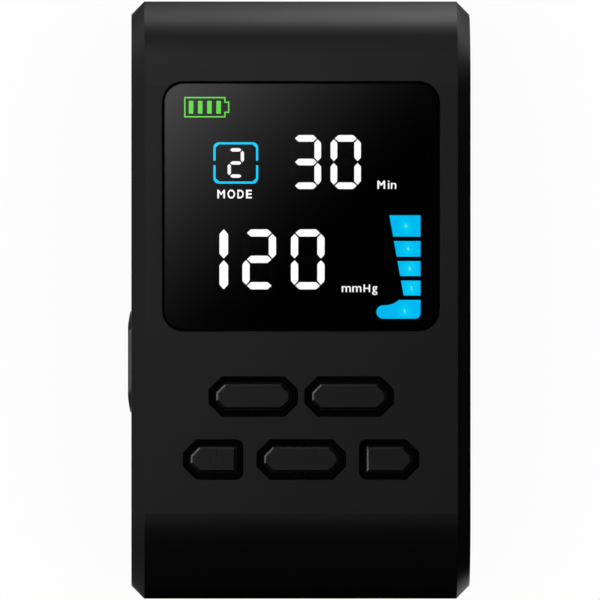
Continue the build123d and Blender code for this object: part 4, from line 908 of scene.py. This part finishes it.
# %% Cards that are seen only in reflections
def card(name, corners, light):
    """A card whose brightness a function works out. It is seen in reflections alone."""
    piece = plane(name, corners)
    finish = Finish(name)
    piece.data.materials.append(finish.close({
        "Base Color": grey(0.0),
        "Specular IOR Level": 0.0,
        "Emission Color": light(finish),
        "Emission Strength": 1.0,
    }))
    finish.material.cycles.emission_sampling = "NONE"
    piece.visible_camera = False
    piece.visible_diffuse = False
    piece.visible_shadow = False
    piece.visible_transmission = False
    return piece


def even(level):
    """The same brightness all over."""
    return lambda finish: grey(level)


def way(finish, axis, start, end):
    """0 at start and 1 at end along an axis, clamped."""
    part = finish.node("SeparateXYZ", {}, {"Vector": finish.place}, axis)
    return finish.node("MapRange", {"clamp": True}, {0: part, 1: start, 2: end})


def graded(axis, start, end, levels):
    """Even steps of brightness from start to end along an axis, with soft changes."""
    stops = [(step / (len(levels) - 1), level) for step, level in enumerate(levels)]
    return lambda finish: finish.node(
        "ValToRGB", {"stops": stops}, {"Fac": way(finish, axis, start, end)}, "Color")


print("cards can be even or graded")

# %% [markdown]
# ### Graded lights
#
# Most cards have one brightness. The ceiling, the glare on the window and the floor at the head end
# are graded by functions of their own, because the photograph's greys change along the case.

# %% How the ceiling, the glare and the floor at the head end are graded
# The tent's half width, its height, and where its ceiling begins at the foot end
TENT = 0.6
CEILING = 0.55
FRONT = -0.15
FOOT_RAMP = 0.14
ACROSS = 0.2
# The glare's corner, how far it reaches and how soon it fades
GLARE_X = -0.0322
GLARE_Y = 0.061
GLARE_REACH = 0.092
GLARE_FADE = 2.4
GLARE_PEAK = 1.2
# The floor cards begin this far from the unit's middle
EDGE = 0.078
HEAD_RAMP = 0.16


def ceiling_light(finish):
    """Paler to the left, darker to the right and at the head end, and black at the foot end."""
    across = way(finish, 0, -ACROSS, ACROSS)
    foot = way(finish, 1, FRONT, FRONT + FOOT_RAMP)
    head = way(finish, 1, 0.0, TENT)
    return (0.96 - 0.9 * across - 0.15 * head) * foot


def glare_light(finish):
    """The bright upper left corner of the window, which falls off along its diagonal."""
    parts = [finish.node("SeparateXYZ", {}, {"Vector": finish.place}, axis) for axis in (0, 1)]
    run = (parts[0] - GLARE_X) - (parts[1] - GLARE_Y)
    left = 1.0 - (1 / GLARE_REACH) * run
    fall = finish.node("Math", {"operation": "MAXIMUM"}, {0: left, 1: 0.0})
    return GLARE_PEAK * finish.node("Math", {"operation": "POWER"}, {0: fall, 1: GLARE_FADE})


def head_floor_light(finish):
    """Dark next to the head end, a painted shadow of the unit; bright further out, brighter to the
    right.
    """
    along = graded(1, EDGE, EDGE + HEAD_RAMP, [0.02, 0.6, 1.4, 1.75, 1.9, 1.75])(finish)
    return along * (0.62 + 0.76 * way(finish, 0, -0.05, 0.05))


print("the tent is", 2 * TENT, "m wide and", CEILING, "m high")

# %% [markdown]
# ### The cards
#
# They stand round the unit like the sides of a box. Flat cards fill the part of the floor that its
# lower edges reflect, and small ones on them make the glints in the two corners at its foot end.

# %% The cards round the unit
FLOOR_CARD = 0.0005
# The floor card at the head end is this wide each way, and other cards go on beside it
SPREAD = 0.12
# The small cards for the glints lie just above the floor cards
GLINT_Z = FLOOR_CARD + 0.0002
GLINT_IN = 0.046
GLINT_OUT = 0.066
GLINT_FOOT = -0.096
HAZE_OUT = 0.3


def flat_card(name, left, right, low, high, z, light):
    return card(name, [(left, low, z), (right, low, z), (left, high, z), (right, high, z)], light)


def end_card(name, left, right, y, low, high, light):
    return card(name, [(left, y, low), (right, y, low), (left, y, high), (right, y, high)], light)


def side_card(name, x, foot, head, low, high, light):
    return card(name, [(x, foot, low), (x, head, low), (x, foot, high), (x, head, high)], light)


# Each call gives the card's edges and the place of its plane, in metres, and then its light
flat_card("ceiling_card", -TENT, TENT, FRONT, TENT, CEILING, ceiling_light)
flat_card("foot_ceiling_card", -TENT, TENT, -TENT, FRONT, CEILING, even(0.0))
flat_card("window_glare", -0.045, 0.055, -0.02, 0.072, CEILING - 0.01, glare_light)
end_card("foot_card", -TENT, TENT, -TENT, 0.0, CEILING, even(0.0))
flat_card("foot_floor_card", -TENT, TENT, -TENT, -EDGE, FLOOR_CARD, even(0.0))
flat_card("foot_left_glint", -GLINT_OUT, -GLINT_IN, GLINT_FOOT, -EDGE, GLINT_Z, even(0.11))
flat_card("foot_left_haze", -HAZE_OUT, -GLINT_OUT, -HAZE_OUT, -EDGE, GLINT_Z, even(0.13))
flat_card("foot_right_glint", GLINT_IN, GLINT_OUT, GLINT_FOOT, -EDGE, GLINT_Z, even(0.55))
side_card("right_card", TENT, -TENT, TENT, 0.0, CEILING, even(0.01))
flat_card("right_floor_card", EDGE, TENT, -EDGE, EDGE, FLOOR_CARD, even(0.01))
flat_card("head_right_floor_card", SPREAD, TENT, EDGE, TENT, FLOOR_CARD,
          graded(0, SPREAD, 0.4, [1.6, 0.45, 0.1, 0.02]))
side_card("left_card", -TENT, -TENT, TENT, 0.0, CEILING, even(0.22))
side_card("left_strip", -0.35, -0.15, 0.15, 0.27, 0.33, even(7.0))
card("corner_strip", [(-0.45, 0.15, 0.31), (-0.15, 0.45, 0.31), (-0.45, 0.15, 0.37),
                      (-0.15, 0.45, 0.37)], even(8.0))
flat_card("left_floor_card", -TENT, -EDGE, -EDGE, EDGE, FLOOR_CARD, even(0.22))
flat_card("head_left_floor_card", -TENT, -SPREAD, EDGE, TENT, FLOOR_CARD,
          graded(0, -SPREAD, -0.4, [0.8, 0.4, 0.25, 0.22]))
end_card("head_card", -TENT, TENT, TENT, 0.0, CEILING,
         graded(2, 0.0, 0.5, [0.5, 0.15, 0.1, 0.15, 0.3, 0.4]))
flat_card("head_floor_card", -SPREAD, SPREAD, EDGE, TENT, FLOOR_CARD, head_floor_light)

# %% [markdown]
# ## Camera
#
# The photograph's frame is as wide as the unit is long, and its edges run parallel, so the camera
# is far away with a long lens. The frame's width at the height of the case's front edge sets the
# focal length. The right-hand edge of the case turns in a little earlier in the photograph than the
# left-hand one, so the camera stands five centimetres to the left and looks at the front face.

# %% Camera
SENSOR = 36.0
CAMERA_HEIGHT = 5.0
FRAME_WIDTH = 0.15235
EDGE_HEIGHT = 0.035
SIDE_STEP = 0.05
FRONT_FACE = 0.045
AIM_X = -0.0003
AIM_Y = 0.00002
camera_data = bpy.data.cameras.new("camera")
camera_data.sensor_width = SENSOR
camera_data.lens = SENSOR * (CAMERA_HEIGHT - EDGE_HEIGHT) / FRAME_WIDTH
camera_data.clip_end = 10 * CAMERA_HEIGHT
camera = bpy.data.objects.new("camera", camera_data)
camera.location = (AIM_X - SIDE_STEP, AIM_Y, CAMERA_HEIGHT)
camera.rotation_euler = (0.0, -math.atan(SIDE_STEP / (CAMERA_HEIGHT - FRONT_FACE)), 0.0)
bpy.context.scene.collection.objects.link(camera)
bpy.context.scene.camera = camera
print("lens", round(camera_data.lens), "mm")

# %% [markdown]
# ## The size of the dressed model
#
# The dressed model should be no larger than the imported solids. The last cell prints its box, to
# set beside the box of the imported solids that the first cell printed.

# %% Sizes and view
bpy.context.scene.view_settings.view_transform = "Standard"
seen_box = [list(corner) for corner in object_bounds()]
print("visual box in mm:", [in_mm(corner) for corner in seen_box])
